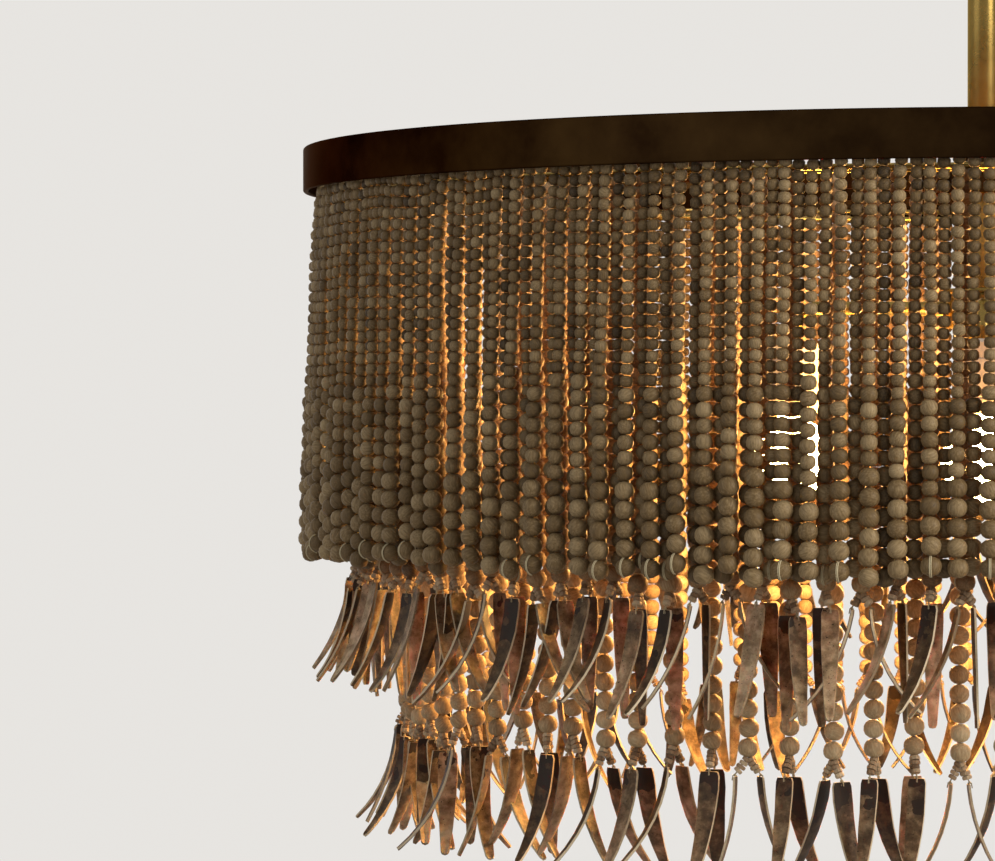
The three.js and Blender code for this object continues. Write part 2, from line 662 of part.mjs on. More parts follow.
// Lamps
addPiece('drop_tube', makeDropTube(), brass);
addPiece('cluster_body', makeClusterBody(), brass);
addPiece('end_cap', makeEndCap(), brass);
lampTurns.forEach((turn, i) => {
  addPiece(`lamp_arm_${i + 1}`, makeLampArm(), brass, turn);
  addPiece(`lamp_holder_${i + 1}`, makeLampHolder(), palePaint, turn);
  addPiece(`bulb_${i + 1}`, makeBulb(), opalGlass, turn);
});

// Strands
for (const tier of tiers) {
  const panel = makeStrandPanel(tier);
  for (let i = 0; i < tier.panels; i += 1) {
    addPiece(`${tier.name}_${i + 1}`, panel, tier.wood, ((i + 1 / 2) * 2 * Math.PI) / tier.panels);
  }
}

export default chandelier;
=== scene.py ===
# %% [markdown]
# # A beaded chandelier
# Three tiers of strung wooden beads hang from wire rails under a dark metal band. A brass rod with a
# swivel carries the band from the ceiling, and four bulbs light the strings from inside.
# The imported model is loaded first. It fixes where every piece is, and how it moves.

# %% Load the frame
import random
from math import acos, atan2, copysign, cos, pi, radians, sin

import bmesh
import bpy
import numpy as np
from bmesh.types import BMEdge, BMVert
from mathutils import Matrix, Vector


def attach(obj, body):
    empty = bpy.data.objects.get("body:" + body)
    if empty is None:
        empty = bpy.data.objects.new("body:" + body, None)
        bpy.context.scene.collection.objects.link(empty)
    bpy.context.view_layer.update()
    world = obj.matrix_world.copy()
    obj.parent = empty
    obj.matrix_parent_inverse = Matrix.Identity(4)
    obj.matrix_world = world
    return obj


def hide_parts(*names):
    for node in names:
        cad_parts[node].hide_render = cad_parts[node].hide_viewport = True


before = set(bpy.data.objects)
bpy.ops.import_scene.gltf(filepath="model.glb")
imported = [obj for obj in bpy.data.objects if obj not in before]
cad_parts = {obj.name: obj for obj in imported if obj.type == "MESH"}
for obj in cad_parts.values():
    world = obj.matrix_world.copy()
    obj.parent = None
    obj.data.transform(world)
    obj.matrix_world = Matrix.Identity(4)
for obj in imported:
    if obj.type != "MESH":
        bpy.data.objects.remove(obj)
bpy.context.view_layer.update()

MM = 0.001
TAU = 2 * pi

# %% [markdown]
# ## Camera
# The photograph was taken from a little way off, level with the lamps, with the shade's axis near the
# right edge of the picture. A long lens at that distance gives the band the same shallow curve.

# %% Camera
DISTANCE, EYE_HEIGHT, LENS = 2.364, -0.518, 151.9
TURNED_DOWN, TURNED_LEFT = 0.0117, 0.1152


def put_in_scene(name, data):
    """Makes an object from its data and links it to the scene."""
    made = bpy.data.objects.new(name, data)
    bpy.context.scene.collection.objects.link(made)
    return made


camera_data = bpy.data.cameras.new("photo_camera")
camera_data.lens = LENS
camera = put_in_scene("photo_camera", camera_data)
camera.location = (0, -DISTANCE, EYE_HEIGHT)
camera.rotation_euler = (pi / 2 - TURNED_DOWN, 0, TURNED_LEFT)
bpy.context.scene.camera = camera
bpy.context.scene.view_settings.view_transform = "Standard"
print("camera at", tuple(round(v, 3) for v in camera.location))

# %% [markdown]
# ## Studio
# A plain pale floor lies well below the shade, and ends before the picture's lower edge. Two large soft
# lamps and an even world light show the colours about as they are written. Rays from the camera, and
# those that metal and glass send on, see a pale backdrop, and a floor that brightens towards it. From
# below the floor is clear, because a ceiling light is also looked at from there.

# %% Node helpers
def new_material(name):
    """A node material, its nodes and its main shader."""
    material = bpy.data.materials.new(name)
    material.use_nodes = True
    nodes = material.node_tree.nodes
    print("finish:", name)
    return material, nodes, nodes["Principled BSDF"]


def fill(socket, value):
    """Gives an input a value, or links another node's output to it."""
    if isinstance(value, bpy.types.NodeSocket):
        socket.id_data.links.new(value, socket)
    else:
        socket.default_value = value


def set_inputs(node, **values):
    """Fills a node's inputs by name. An underscore stands for a space."""
    for name, value in values.items():
        fill(node.inputs[name.replace("_", " ")], value)


def add_node(nodes, kind, *values, operation=None, **named):
    """Adds a node, fills its inputs in order or by name, and gives back its outputs."""
    node = nodes.new("ShaderNode" + kind)
    if operation:
        node.operation = operation
    for socket, value in zip(node.inputs, values):
        fill(socket, value)
    set_inputs(node, **named)
    return node.outputs


def maths(nodes, operation, *values):
    """One sum. Each value is a number or another node's output."""
    return add_node(nodes, "Math", *values, operation=operation)[0]


# %% Lamp and ray helpers
def area_lamp(name, place, aim, width, watts, colour=(1, 1, 1)):
    """A square soft lamp that faces a point."""
    data = bpy.data.lights.new(name, "AREA")
    data.size, data.energy, data.color = width, watts, colour
    lamp = put_in_scene(name, data)
    lamp.location = place
    lamp.rotation_euler = (Vector(aim) - Vector(place)).to_track_quat("-Z", "Y").to_euler()


def seen_rays(nodes):
    """Is 1 for rays from the camera, from metal and from glass, and 0 for light on the object."""
    rays = add_node(nodes, "LightPath")
    sent_on = maths(nodes, "MAXIMUM", rays["Is Glossy Ray"], rays["Is Transmission Ray"])
    return maths(nodes, "MAXIMUM", rays["Is Camera Ray"], sent_on)


# %% Floor
BACKDROP = (0.80, 0.78, 0.75, 1)
FLOOR_HEIGHT, FLOOR_RADIUS = -2.0, 9.0
PALER_FROM, PALER_TO = 2.5, 8.0


def as_mesh(bm, name):
    """Turns a bmesh into a mesh."""
    mesh = bpy.data.meshes.new(name)
    bm.to_mesh(mesh)
    bm.free()
    return mesh


floor_shape = bmesh.new()
bmesh.ops.create_circle(floor_shape, cap_ends=True, segments=96, radius=FLOOR_RADIUS)
bmesh.ops.translate(floor_shape, vec=(0, 0, FLOOR_HEIGHT), verts=floor_shape.verts)
floor = put_in_scene("studio_floor", as_mesh(floor_shape, "studio_floor"))

floor_paint, nodes, shader = new_material("floor_paint")
place = add_node(nodes, "TexCoord")["Object"]
reach = add_node(nodes, "VectorMath", place, operation="LENGTH")["Value"]
paler = add_node(
    nodes, "MapRange", reach, From_Min=PALER_FROM, From_Max=PALER_TO, To_Min=0.55, To_Max=0.77,
)["Result"]
set_inputs(
    shader, Base_Color=(0.42, 0.41, 0.39, 1), Roughness=0.9, Emission_Color=BACKDROP,
    Emission_Strength=maths(nodes, "MULTIPLY", paler, seen_rays(nodes)),
)
from_below = add_node(nodes, "NewGeometry")["Backfacing"]
clear = add_node(nodes, "BsdfTransparent")[0]
paint = add_node(nodes, "MixShader", from_below, shader.outputs[0], clear)[0]
set_inputs(nodes["Material Output"], Surface=paint)
floor.data.materials.append(floor_paint)

# %% Backdrop and lamps
world = bpy.data.worlds.new("studio_world")
bpy.context.scene.world = world
world.use_nodes = True
nodes = world.node_tree.nodes
even_light = nodes["Background"]
set_inputs(even_light, Color=(1, 0.98, 0.95, 1), Strength=0.36)
seen = add_node(nodes, "Background", BACKDROP, 1.0)[0]
sky = add_node(nodes, "MixShader", seen_rays(nodes), even_light.outputs[0], seen)[0]
set_inputs(nodes["World Output"], Surface=sky)

SHADE_CENTRE = (0, 0, -0.5)
area_lamp("window_lamp", (1.8, -1.5, 0.1), SHADE_CENTRE, 1.2, 50, (1, 0.95, 0.87))
area_lamp("fill_lamp", (-2.4, -1.8, -0.1), SHADE_CENTRE, 2.0, 12)
print("studio ready, floor at", FLOOR_HEIGHT)

# %% [markdown]
# ## Helpers for the pieces
# Every piece is modelled in its place with bmesh operators, so that its object can stay at the origin.
# A turned piece is a line of points spun about an axis. Its hard edges are then eased with a bevel,
# because real turned and cut metal always catches a thin line of light there.

# %% Turned shapes and soft edges
def spun(profile, steps, closed=False):
    """A surface turned about the Z axis from (radius, height) points in millimetres."""
    bm = bmesh.new()
    line = [bm.verts.new((radius * MM, 0, height * MM)) for radius, height in profile]
    pairs = list(zip(line, line[1:])) + ([(line[-1], line[0])] if closed else [])
    edges = [bm.edges.new(pair) for pair in pairs]
    bmesh.ops.spin(
        bm, geom=line + edges, cent=(0, 0, 0), axis=(0, 0, 1), angle=TAU, steps=steps, use_merge=True,
    )
    bmesh.ops.remove_doubles(bm, verts=bm.verts, dist=0.001 * MM)
    bmesh.ops.recalc_face_normals(bm, faces=bm.faces)
    return bm


def ease_edges(bm, width, segments=2, sharper_than=28):
    """Bevels every edge that turns by more than the given angle."""
    hard = [e for e in bm.edges if e.is_manifold and e.calc_face_angle() > radians(sharper_than)]
    bmesh.ops.bevel(
        bm, geom=hard, offset=width * MM, segments=segments, profile=0.5, affect="EDGES", material=-1,
    )
    return bm


# %% Moving, cutting and joining
def moved(bm, way, verts=None):
    """Moves the bmesh, or some of its vertices, by millimetres."""
    bmesh.ops.translate(bm, vec=[v * MM for v in way], verts=verts or bm.verts)
    return bm


def turned(bm, angle, axis="Z"):
    """Turns the bmesh about an axis through the origin."""
    bmesh.ops.rotate(bm, cent=(0, 0, 0), matrix=Matrix.Rotation(angle, 3, axis), verts=bm.verts)
    return bm


def block(low, high):
    """A box between two corners in millimetres."""
    bm = bmesh.new()
    bmesh.ops.create_cube(bm, size=MM)
    bmesh.ops.scale(bm, vec=[b - a for a, b in zip(low, high)], verts=bm.verts)
    return moved(bm, [(a + b) / 2 for a, b in zip(low, high)])


def cut(bm, point, outward):
    """Cuts the solid with a plane, drops the side that outward points to, and closes the cut."""
    made = bmesh.ops.bisect_plane(
        bm, geom=bm.verts[:] + bm.edges[:] + bm.faces[:], plane_co=[p * MM for p in point],
        plane_no=outward, clear_outer=True, dist=0.0001 * MM,
    )
    rim = [e for e in made["geom_cut"] if isinstance(e, BMEdge)]
    if rim:
        bmesh.ops.holes_fill(bm, edges=rim, sides=0)


def join_into(bm, other):
    """Adds another bmesh to this one."""
    mesh = as_mesh(other, "joined")
    bm.from_mesh(mesh)
    bpy.data.meshes.remove(mesh)
    return bm


# %% Placing a piece
def add_piece(name, bm, finishes, body, node, sharp=32):
    """Makes a piece from a bmesh, gives it its finishes, ties it to its body and hides its CAD node."""
    mesh = as_mesh(bm, name)
    mesh.shade_smooth()
    mesh.set_sharp_from_angle(angle=radians(sharp))
    for finish in finishes:
        mesh.materials.append(finish)
    piece = put_in_scene(name, mesh)
    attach(piece, body)
    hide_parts(node)
    print(name, "rides on", body, "and has", len(mesh.polygons), "faces")
    return piece


# %% [markdown]
# ## Metal finishes
# The band is old dark bronze, almost brown-black, with faint lighter rubs. The rod and the lamp parts
# are antique brass. Both are a metal whose colour and roughness wander slowly, with fine brushing.

# %% Pattern helpers
def noise(nodes, place, scale, detail, roughness=0.5):
    """A cloudy pattern over a place."""
    return add_node(nodes, "TexNoise", place, Scale=scale, Detail=detail, Roughness=roughness)["Fac"]


def colours(nodes, value, *stops):
    """Colours along a value. A stop is a position and its colour."""
    ramp = nodes.new("ShaderNodeValToRGB")
    fill(ramp.inputs["Fac"], value)
    elements = ramp.color_ramp.elements
    elements.remove(elements[1])
    elements[0].position, elements[0].color = stops[0][0], (*stops[0][1], 1)
    for position, colour in stops[1:]:
        elements.new(position).color = (*colour, 1)
    return ramp.outputs["Color"]


def spread(nodes, value, low, high):
    """Spreads a pattern between two values."""
    return add_node(nodes, "MapRange", value, To_Min=low, To_Max=high)["Result"]


def relief(nodes, height, strength, depth):
    """A fine relief. The depth is in metres."""
    return add_node(nodes, "Bump", Height=height, Strength=strength, Distance=depth)["Normal"]


# %% Metal finishes
def metal(name, deep, light, edge, roughness, patch_size):
    """Aged metal: two tones in soft patches, an edge tint, a wandering roughness and a fine grain."""
    material, nodes, shader = new_material(name)
    place = add_node(nodes, "TexCoord")["Object"]
    patches = noise(nodes, place, 1 / patch_size, 6, 0.62)
    set_inputs(
        shader, Metallic=1, Specular_Tint=(*edge, 1),
        Base_Color=colours(nodes, patches, (0.36, deep), (0.72, light)),
        Roughness=spread(nodes, patches, roughness - 0.1, roughness + 0.12),
        Normal=relief(nodes, noise(nodes, place, 900, 3), 0.15, 0.0002),
    )
    return material


dark_bronze = metal(
    "aged_bronze", (0.011, 0.005, 0.002), (0.034, 0.018, 0.006), (0.40, 0.25, 0.13), 0.48, 0.05)
brass = metal(
    "antique_brass", (0.170, 0.112, 0.030), (0.330, 0.233, 0.075), (0.9, 0.75, 0.5), 0.27, 0.05)
steel = metal("zinced_steel", (0.42, 0.42, 0.40), (0.62, 0.62, 0.60), (1, 1, 1), 0.38, 0.02)

# %% [markdown]
# ## Band
# The band is a flat hoop, 24 mm high and 3 mm thick, with softened edges. A closed outline of four
# points is spun in many steps, because this long curve faces the viewer, and then its edges are eased.

# %% Band
BAND_RADIUS, BAND_WALL = 380, 3
BAND_TOP, BAND_BOTTOM = -389.0, -413.0

band = spun([
    (BAND_RADIUS - BAND_WALL, BAND_BOTTOM), (BAND_RADIUS, BAND_BOTTOM),
    (BAND_RADIUS, BAND_TOP), (BAND_RADIUS - BAND_WALL, BAND_TOP),
], 240, closed=True)
ease_edges(band, 1.0, 3, 60)
add_piece("bronze_band", band, [dark_bronze], "shade_frame", "band")

# %% [markdown]
# ## Rails
# Each tier of strings is tied to its own hoop of 3 mm brass wire. A small circle is stood upright at
# the hoop's radius and spun about the axis.

# %% Rails
RAIL_WIRE = 1.5
OUTER_RAIL, MIDDLE_RAIL, INNER_RAIL = 368.5, 349.5, 323.0
OUTER_RAIL_HEIGHT, INNER_RAIL_HEIGHT = -408.5, -415.0


def hoop(radius, height, wire, sides=8):
    """A wire hoop about the Z axis."""
    section = [
        (radius + wire * cos(TAU * i / sides), height + wire * sin(TAU * i / sides))
        for i in range(sides)
    ]
    return spun(section, 180, closed=True)


for name, radius, height in (
    ("outer_rail", OUTER_RAIL, OUTER_RAIL_HEIGHT),
    ("middle_rail", MIDDLE_RAIL, INNER_RAIL_HEIGHT),
    ("inner_rail", INNER_RAIL, INNER_RAIL_HEIGHT),
):
    wire = hoop(radius, height, RAIL_WIRE)
    add_piece(name + "_wire", wire, [brass], "shade_frame", name, 60)

# %% [markdown]
# ## Spokes and hub
# Four flat bars on edge run from the hub to the band. Each is stepped up near its end, so that the
# outer rail passes below it. The outline is one face of six corners, pushed out to the bar's width.

# %% Spokes
SPOKE_WIDTH = 3
SPOKE_TOP, SPOKE_BOTTOM, SPOKE_STEP = -401.2, -413.2, -406.7
SPOKE_START, SPOKE_STEP_AT, SPOKE_END = 20.3, 359.2, 376.6


def pushed_out(bm, way):
    """Pushes flat faces out into a solid, by millimetres."""
    made = bmesh.ops.extrude_face_region(bm, geom=bm.faces[:])["geom"]
    moved(bm, way, [g for g in made if isinstance(g, BMVert)])
    bmesh.ops.recalc_face_normals(bm, faces=bm.faces)
    return bm


def spoke():
    """A bar on edge along the X axis, with a step near its end."""
    outline = [
        (SPOKE_START, SPOKE_BOTTOM), (SPOKE_STEP_AT, SPOKE_BOTTOM), (SPOKE_STEP_AT, SPOKE_STEP),
        (SPOKE_END, SPOKE_STEP), (SPOKE_END, SPOKE_TOP), (SPOKE_START, SPOKE_TOP),
    ]
    bm = bmesh.new()
    bm.faces.new([bm.verts.new((x * MM, -SPOKE_WIDTH / 2 * MM, z * MM)) for x, z in outline])
    return ease_edges(pushed_out(bm, (0, SPOKE_WIDTH, 0)), 0.4, 2, 50)


for k in range(4):
    bar = turned(spoke(), pi / 4 + k * pi / 2)
    add_piece(f"spoke_bar_{k + 1}", bar, [dark_bronze], "shade_frame", f"spoke_{k + 1}")

# %% Hub
hub = spun([
    (0, -377.9), (6.9, -377.9), (6.9, -388.2), (13, -388.2), (13, -400.2), (30, -400.2), (30, -414.2),
    (7.1, -414.2), (7.1, -407.2), (0, -407.2),
], 72)
ease_edges(hub, 0.9, 3, 60)
add_piece("spoke_hub", hub, [dark_bronze], "shade_frame", "hub")

# %% [markdown]
# ## Rod
# The rod is plain brass tube of 18 mm. Only its lower end shows in the photograph, where it carries a
# long upright highlight, so it is spun finely enough to stay round.

# %% Rod
ROD_RADIUS, ROD_BORE = 9, 7.5
ROD_BOTTOM, ROD_TOP = -387.9, -82.9

rod = spun([
    (ROD_BORE, ROD_BOTTOM), (ROD_RADIUS, ROD_BOTTOM), (ROD_RADIUS, ROD_TOP), (ROD_BORE, ROD_TOP),
], 64, closed=True)
ease_edges(rod, 0.4, 2, 60)
add_piece("brass_rod", rod, [brass], "shade_frame", "stem_rod")
print("rod is", ROD_TOP - ROD_BOTTOM, "mm long")

# %% [markdown]
# ## Ceiling fixing
# A flat steel bar is screwed up to the ceiling box. The plate is filled between its outline and its
# three holes and then pushed down to its thickness. A hollow threaded nipple comes down from it.

# %% Fixing bar
BAR_HALF_LENGTH, BAR_HALF_WIDTH, BAR_THICKNESS = 52, 9, 2.6
SCREW_AT, SCREW_HOLE, NIPPLE_HOLE = 35, 2.3, 5.6


def plate(half_length, half_width, holes, thickness):
    """A plate with round holes, down from the ceiling. A hole is (x, radius)."""
    bm = bmesh.new()
    corners = [
        bm.verts.new((x * half_length * MM, y * half_width * MM, 0))
        for x, y in ((-1, -1), (1, -1), (1, 1), (-1, 1))
    ]
    edges = [bm.edges.new(pair) for pair in zip(corners, corners[1:] + corners[:1])]
    for x, radius in holes:
        ring = bmesh.ops.create_circle(bm, cap_ends=False, segments=24, radius=radius * MM)["verts"]
        moved(bm, (x, 0, 0), ring)
        edges += dict.fromkeys(edge for v in ring for edge in v.link_edges)
    bmesh.ops.triangle_fill(bm, edges=edges, use_beauty=True, use_dissolve=True)
    return pushed_out(bm, (0, 0, -thickness))


holes = [(-SCREW_AT, SCREW_HOLE), (0, NIPPLE_HOLE), (SCREW_AT, SCREW_HOLE)]
bar = plate(BAR_HALF_LENGTH, BAR_HALF_WIDTH, holes, BAR_THICKNESS)
ease_edges(bar, 0.3, 2, 60)
add_piece("steel_bar", bar, [steel], "ceiling_fixing", "fixing_bar")

# %% Bar screws and nipple
for side, place in (("left", -SCREW_AT), ("right", SCREW_AT)):
    screw = spun([
        (0, 0), (2, 0), (2, -2.9), (4, -2.9), (2, -5.5), (1.6, -5.5), (0.7, -4.3), (0, -4.3),
    ], 24)
    moved(screw, (place, 0, 0))
    add_piece(f"box_screw_{side}", screw, [steel], "ceiling_fixing", f"bar_screw_{side}")

NIPPLE_BORE, THREAD_CORE, THREAD_CREST, THREAD_PITCH = 3.6, 4.6, 5.0, 1.0
NIPPLE_BOTTOM = -43.3
ridges = round(-NIPPLE_BOTTOM / THREAD_PITCH)
wall = [(THREAD_CORE if i % 2 else THREAD_CREST, -i * THREAD_PITCH / 2) for i in range(2 * ridges + 1)]
nipple = spun([(NIPPLE_BORE, 0), *wall, (NIPPLE_BORE, NIPPLE_BOTTOM)], 32, closed=True)
add_piece("threaded_nipple", nipple, [steel], "ceiling_fixing", "nipple", 20)
print("nipple with", ridges, "thread ridges")

# %% [markdown]
# ## Canopy and collar nut
# The canopy is a spun brass dish, open at the ceiling, and the collar nut below it holds it up. The
# nut has a knurled grip: every second upright edge of its rim is drawn in a little.

# %% Canopy
canopy = spun([
    (5.6, -25), (15, -25), (40.5, -20.5), (58, -13.5), (66, -7), (66, 0), (64.6, 0), (64.6, -5.6),
    (57.2, -11.8), (39.8, -19.1), (15, -23.6), (5.6, -23.6),
], 96, closed=True)
ease_edges(canopy, 0.35, 2, 50)
add_piece("brass_canopy", canopy, [brass], "ceiling_fixing", "ceiling_canopy", 40)

# %% Collar nut
COLLAR_RADIUS, KNURL_DEPTH, KNURL_STEPS = 11, 0.35, 96

collar = spun([
    (5.6, -25.3), (10.2, -25.3), (COLLAR_RADIUS, -26.3), (COLLAR_RADIUS, -31.8), (9.5, -34.3),
    (5.6, -34.3),
], KNURL_STEPS, closed=True)
drawn_in = 1 - KNURL_DEPTH / COLLAR_RADIUS
rim = [v for v in collar.verts if v.co.xy.length > (COLLAR_RADIUS - 0.1) * MM]
valleys = [v for v in rim if round(atan2(v.co.y, v.co.x) / TAU * KNURL_STEPS) % 2]
bmesh.ops.scale(collar, vec=(drawn_in, drawn_in, 1), verts=valleys)
add_piece("knurled_collar_nut", collar, [brass], "ceiling_fixing", "collar_nut", 20)
print("knurled grip with", len(valleys), "points drawn in")

# %% [markdown]
# ## Swivel
# The yoke turns on the nipple and the knuckle tilts on the cross pin, so that the rod hangs plumb under
# any ceiling. The ears and the tongue are blocks and rods that are cut round with planes about the pin.

# %% Swivel
PIN_HEIGHT, PIN_RADIUS = -58.6, 2.5
EAR_ROUNDING, TONGUE_ROUNDING = 7.6, 6.6


def rod_piece(radius, bottom, top, steps=64):
    """A plain round rod about the Z axis."""
    return spun([(0, bottom), (radius, bottom), (radius, top), (0, top)], steps)


def rounded_about_pin(bm, radius, downwards, cuts=18):
    """Cuts one half of the piece round about the pin, and its sides flat beside it."""
    for i in range(cuts + 1):
        angle = pi * i / cuts
        outward = Vector((0, cos(angle), -sin(angle) if downwards else sin(angle)))
        cut(bm, Vector((0, 0, PIN_HEIGHT)) + outward * radius, outward)
    return bm


yoke = spun([(5.6, -34.6), (9, -34.6), (9, -49.6), (0, -49.6), (0, -43.6), (5.6, -43.6)], 64)
for side in (-1, 1):
    ear = rounded_about_pin(rod_piece(ROD_RADIUS, -66.4, -49.6), EAR_ROUNDING, True)
    cut(ear, (side * 4.4, 0, 0), (-side, 0, 0))
    join_into(yoke, ear)
ease_edges(yoke, 0.35, 2, 50)
add_piece("swivel_yoke_brass", yoke, [brass], "swivel", "swivel_yoke")

pin = ease_edges(rod_piece(PIN_RADIUS, -ROD_RADIUS, ROD_RADIUS, 32), 0.4, 3, 50)
moved(turned(pin, pi / 2, "Y"), (0, 0, PIN_HEIGHT))
add_piece("swivel_cross_pin", pin, [steel], "swivel", "swivel_pin")

tongue = rounded_about_pin(block((-4, -6.6, -68.7), (4, 6.6, -51)), TONGUE_ROUNDING, False)
knuckle = spun([(0, -92.9), (6.9, -92.9), (6.9, -82.6), (9, -82.6), (9, -68.6), (0, -68.6)], 64)
join_into(knuckle, tongue)
ease_edges(knuckle, 0.35, 2, 50)
add_piece("swivel_knuckle_brass", knuckle, [brass], "shade_frame", "swivel_knuckle")

# %% [markdown]
# ## Lamp cluster
# A short brass tube hangs from the hub and carries a round cluster body with four arms. Each arm is a
# ring that is drawn outwards, spun through a quarter turn and drawn down into its lamp holder.

# %% Drop tube, cluster and end cap
tube = spun([(5.3, -407.5), (6.5, -407.5), (6.5, -472.9), (5.3, -472.9)], 48, closed=True)
add_piece("cluster_tube", tube, [brass], "shade_frame", "drop_tube")

cluster = spun([
    (0, -473.2), (7.1, -473.2), (7.1, -466.2), (22, -466.2), (22, -468.4), (21.2, -469.2), (22, -470),
    (22, -484.4), (21.2, -485.2), (22, -486), (22, -488.2), (0, -488.2),
], 72)
ease_edges(cluster, 0.35, 2, 50)
add_piece("brass_cluster", cluster, [brass], "shade_frame", "cluster_body")

CAP_RADIUS, DOME_ROWS = 10, 8
dome = [
    (CAP_RADIUS * cos(pi / 2 * i / DOME_ROWS),
     -492.5 - CAP_RADIUS * sin(pi / 2 * i / DOME_ROWS))
    for i in range(DOME_ROWS)
]
cap = spun([(0, -488.5), (CAP_RADIUS, -488.5), *dome, (0, -502.5)], 48)
add_piece("brass_end_cap", cap, [brass], "shade_frame", "end_cap")

# %% Arms
LAMP_CIRCLE = 106
ARM_RADIUS, ARM_BEND, ARM_START = 4, 14, 15.3
ARM_HEIGHT, ARM_END = -477.2, -501.9


def arm():
    """A round tube that runs out along X and bends down at the lamp circle."""
    bm = bmesh.new()
    bmesh.ops.create_circle(bm, cap_ends=True, segments=20, radius=ARM_RADIUS * MM)
    moved(turned(bm, pi / 2, "Y"), (ARM_START, 0, ARM_HEIGHT))

    def drawn(edges, way):
        """Draws a ring of edges on, and gives back the new ring."""
        made = bmesh.ops.extrude_edge_only(bm, edges=edges)["geom"]
        moved(bm, way, [g for g in made if isinstance(g, BMVert)])
        return [g for g in made if isinstance(g, BMEdge)]

    ring = drawn(bm.edges[:], (LAMP_CIRCLE - ARM_BEND - ARM_START, 0, 0))
    bend_centre = ((LAMP_CIRCLE - ARM_BEND) * MM, 0, (ARM_HEIGHT - ARM_BEND) * MM)
    bend = bmesh.ops.spin(bm, geom=ring, cent=bend_centre, axis=(0, 1, 0), angle=pi / 2, steps=12)
    ring = [g for g in bend["geom_last"] if isinstance(g, BMEdge)]
    ring = drawn(ring, (0, 0, ARM_END - ARM_HEIGHT + ARM_BEND))
    bmesh.ops.holes_fill(bm, edges=ring, sides=0)
    bmesh.ops.recalc_face_normals(bm, faces=bm.faces)
    return bm


for k in range(4):
    piece = turned(arm(), k * pi / 2)
    add_piece(f"brass_arm_{k + 1}", piece, [brass], "shade_frame", f"lamp_arm_{k + 1}", 40)

# %% [markdown]
# ## Lamp holders
# The holders are cream plastic sleeves, open below for the bulb, with two shallow grooves and a soft
# shoulder round the arm. The finish is nearly matt, a little shaded and scuffed by handling.

# %% Holder finish
cream, nodes, shader = new_material("cream_plastic")
scuffs = noise(nodes, add_node(nodes, "TexCoord")["Object"], 160, 5)
set_inputs(
    shader, Base_Color=colours(nodes, scuffs, (0.3, (0.60, 0.53, 0.43)), (0.7, (0.74, 0.68, 0.58))),
    Roughness=spread(nodes, scuffs, 0.45, 0.65),
)

# %% Holders
HOLDER_BOTTOM = -535.2


def at_lamp(bm, k):
    """Moves a piece from the axis out to lamp number k."""
    return turned(moved(bm, (LAMP_CIRCLE, 0, 0)), k * pi / 2)


def holder():
    """A sleeve with its seat for the arm above and its bore for the bulb below."""
    sleeve = spun([
        (0, -502.2), (4.6, -502.2), (4.6, -495.2), (12, -495.2), (14, -497.2), (14, -505),
        (13.4, -505.6), (14, -506.2), (14, -526), (13.4, -526.6), (14, -527.2), (14, HOLDER_BOTTOM),
        (8, HOLDER_BOTTOM), (8, -509.2), (0, -509.2),
    ], 64)
    return ease_edges(sleeve, 0.35, 2, 60)


for k in range(4):
    piece = at_lamp(holder(), k)
    add_piece(f"cream_holder_{k + 1}", piece, [cream], "shade_frame", f"lamp_holder_{k + 1}")

# %% [markdown]
# ## Wood for the beads
# Each bead is washed wood: a warm grey-beige with fine darker grain that runs its own way in every
# bead. Two values are kept on the mesh for this. `tone` says how light the bead is, and `grain` is a
# place in the wood, turned by a different amount for each bead.

# %% Wood finish
def mesh_value(nodes, name):
    """The outputs of a value that is kept on the mesh."""
    node = nodes.new("ShaderNodeAttribute")
    node.attribute_name = name
    return node.outputs


def wood(name, dark, middle, light):
    """Washed wood that reads its tone and its grain from the mesh."""
    material, nodes, shader = new_material(name)
    drawn_out = add_node(nodes, "Mapping", mesh_value(nodes, "grain")["Vector"], Scale=(5.5, 5.5, 0.9))
    fibres = noise(nodes, drawn_out["Vector"], 1.0, 5, 0.6)
    lifted = maths(nodes, "MULTIPLY_ADD", mesh_value(nodes, "tone")["Fac"], 0.85, -0.30)
    blend = maths(nodes, "MULTIPLY_ADD", fibres, 0.75, lifted)
    set_inputs(
        shader, Base_Color=colours(nodes, blend, (0.12, dark), (0.5, middle), (0.92, light)),
        Roughness=0.55, Specular_IOR_Level=0.22, Normal=relief(nodes, fibres, 0.35, 0.0004),
    )
    return material


# Painted light and shade: the tiers' woods differ as painted light. The outer tier's wood is painted
# darker as shade, and the middle tier's is painted rosier and the inner tier's paler cream as painted
# light from the bulbs.
outer_wood = wood("washed_wood_painted_shade", (0.041, 0.025, 0.010), (0.157, 0.100, 0.043), (0.41, 0.30, 0.16))
middle_wood = wood("rosy_wood_painted_glow", (0.080, 0.042, 0.018), (0.25, 0.145, 0.068), (0.52, 0.37, 0.20))
inner_wood = wood("cream_wood_painted_light", (0.11, 0.066, 0.030), (0.36, 0.245, 0.13), (0.70, 0.56, 0.35))
thread = wood("flax_thread", (0.14, 0.10, 0.055), (0.36, 0.29, 0.17), (0.56, 0.48, 0.31))

# %% [markdown]
# ## Beads
# A turned bead is squarer than a ball and a little pressed along its hole, most of all the small ones.
# Its side line is therefore a superellipse, spun round. The thread hole shows only at the end of a
# string, so the last bead is the one that is really drilled: its poles are opened, drawn in to the
# hole's edge, and bridged through the middle. Small beads get fewer faces than large ones.

# %% Bead shapes
def plain_bead(diameter, height, around, rings, squareness):
    """A turned bead about the origin, its string running along Z. A squareness of 2 is a ball."""
    side = []
    for i in range(1, rings):
        angle = pi * i / rings
        across = sin(angle) ** (2 / squareness)
        up = copysign(abs(cos(angle)) ** (2 / squareness), cos(angle))
        side.append((diameter / 2 * across, height / 2 * up))
    return spun([(0, height / 2), *side, (0, -height / 2)], around)


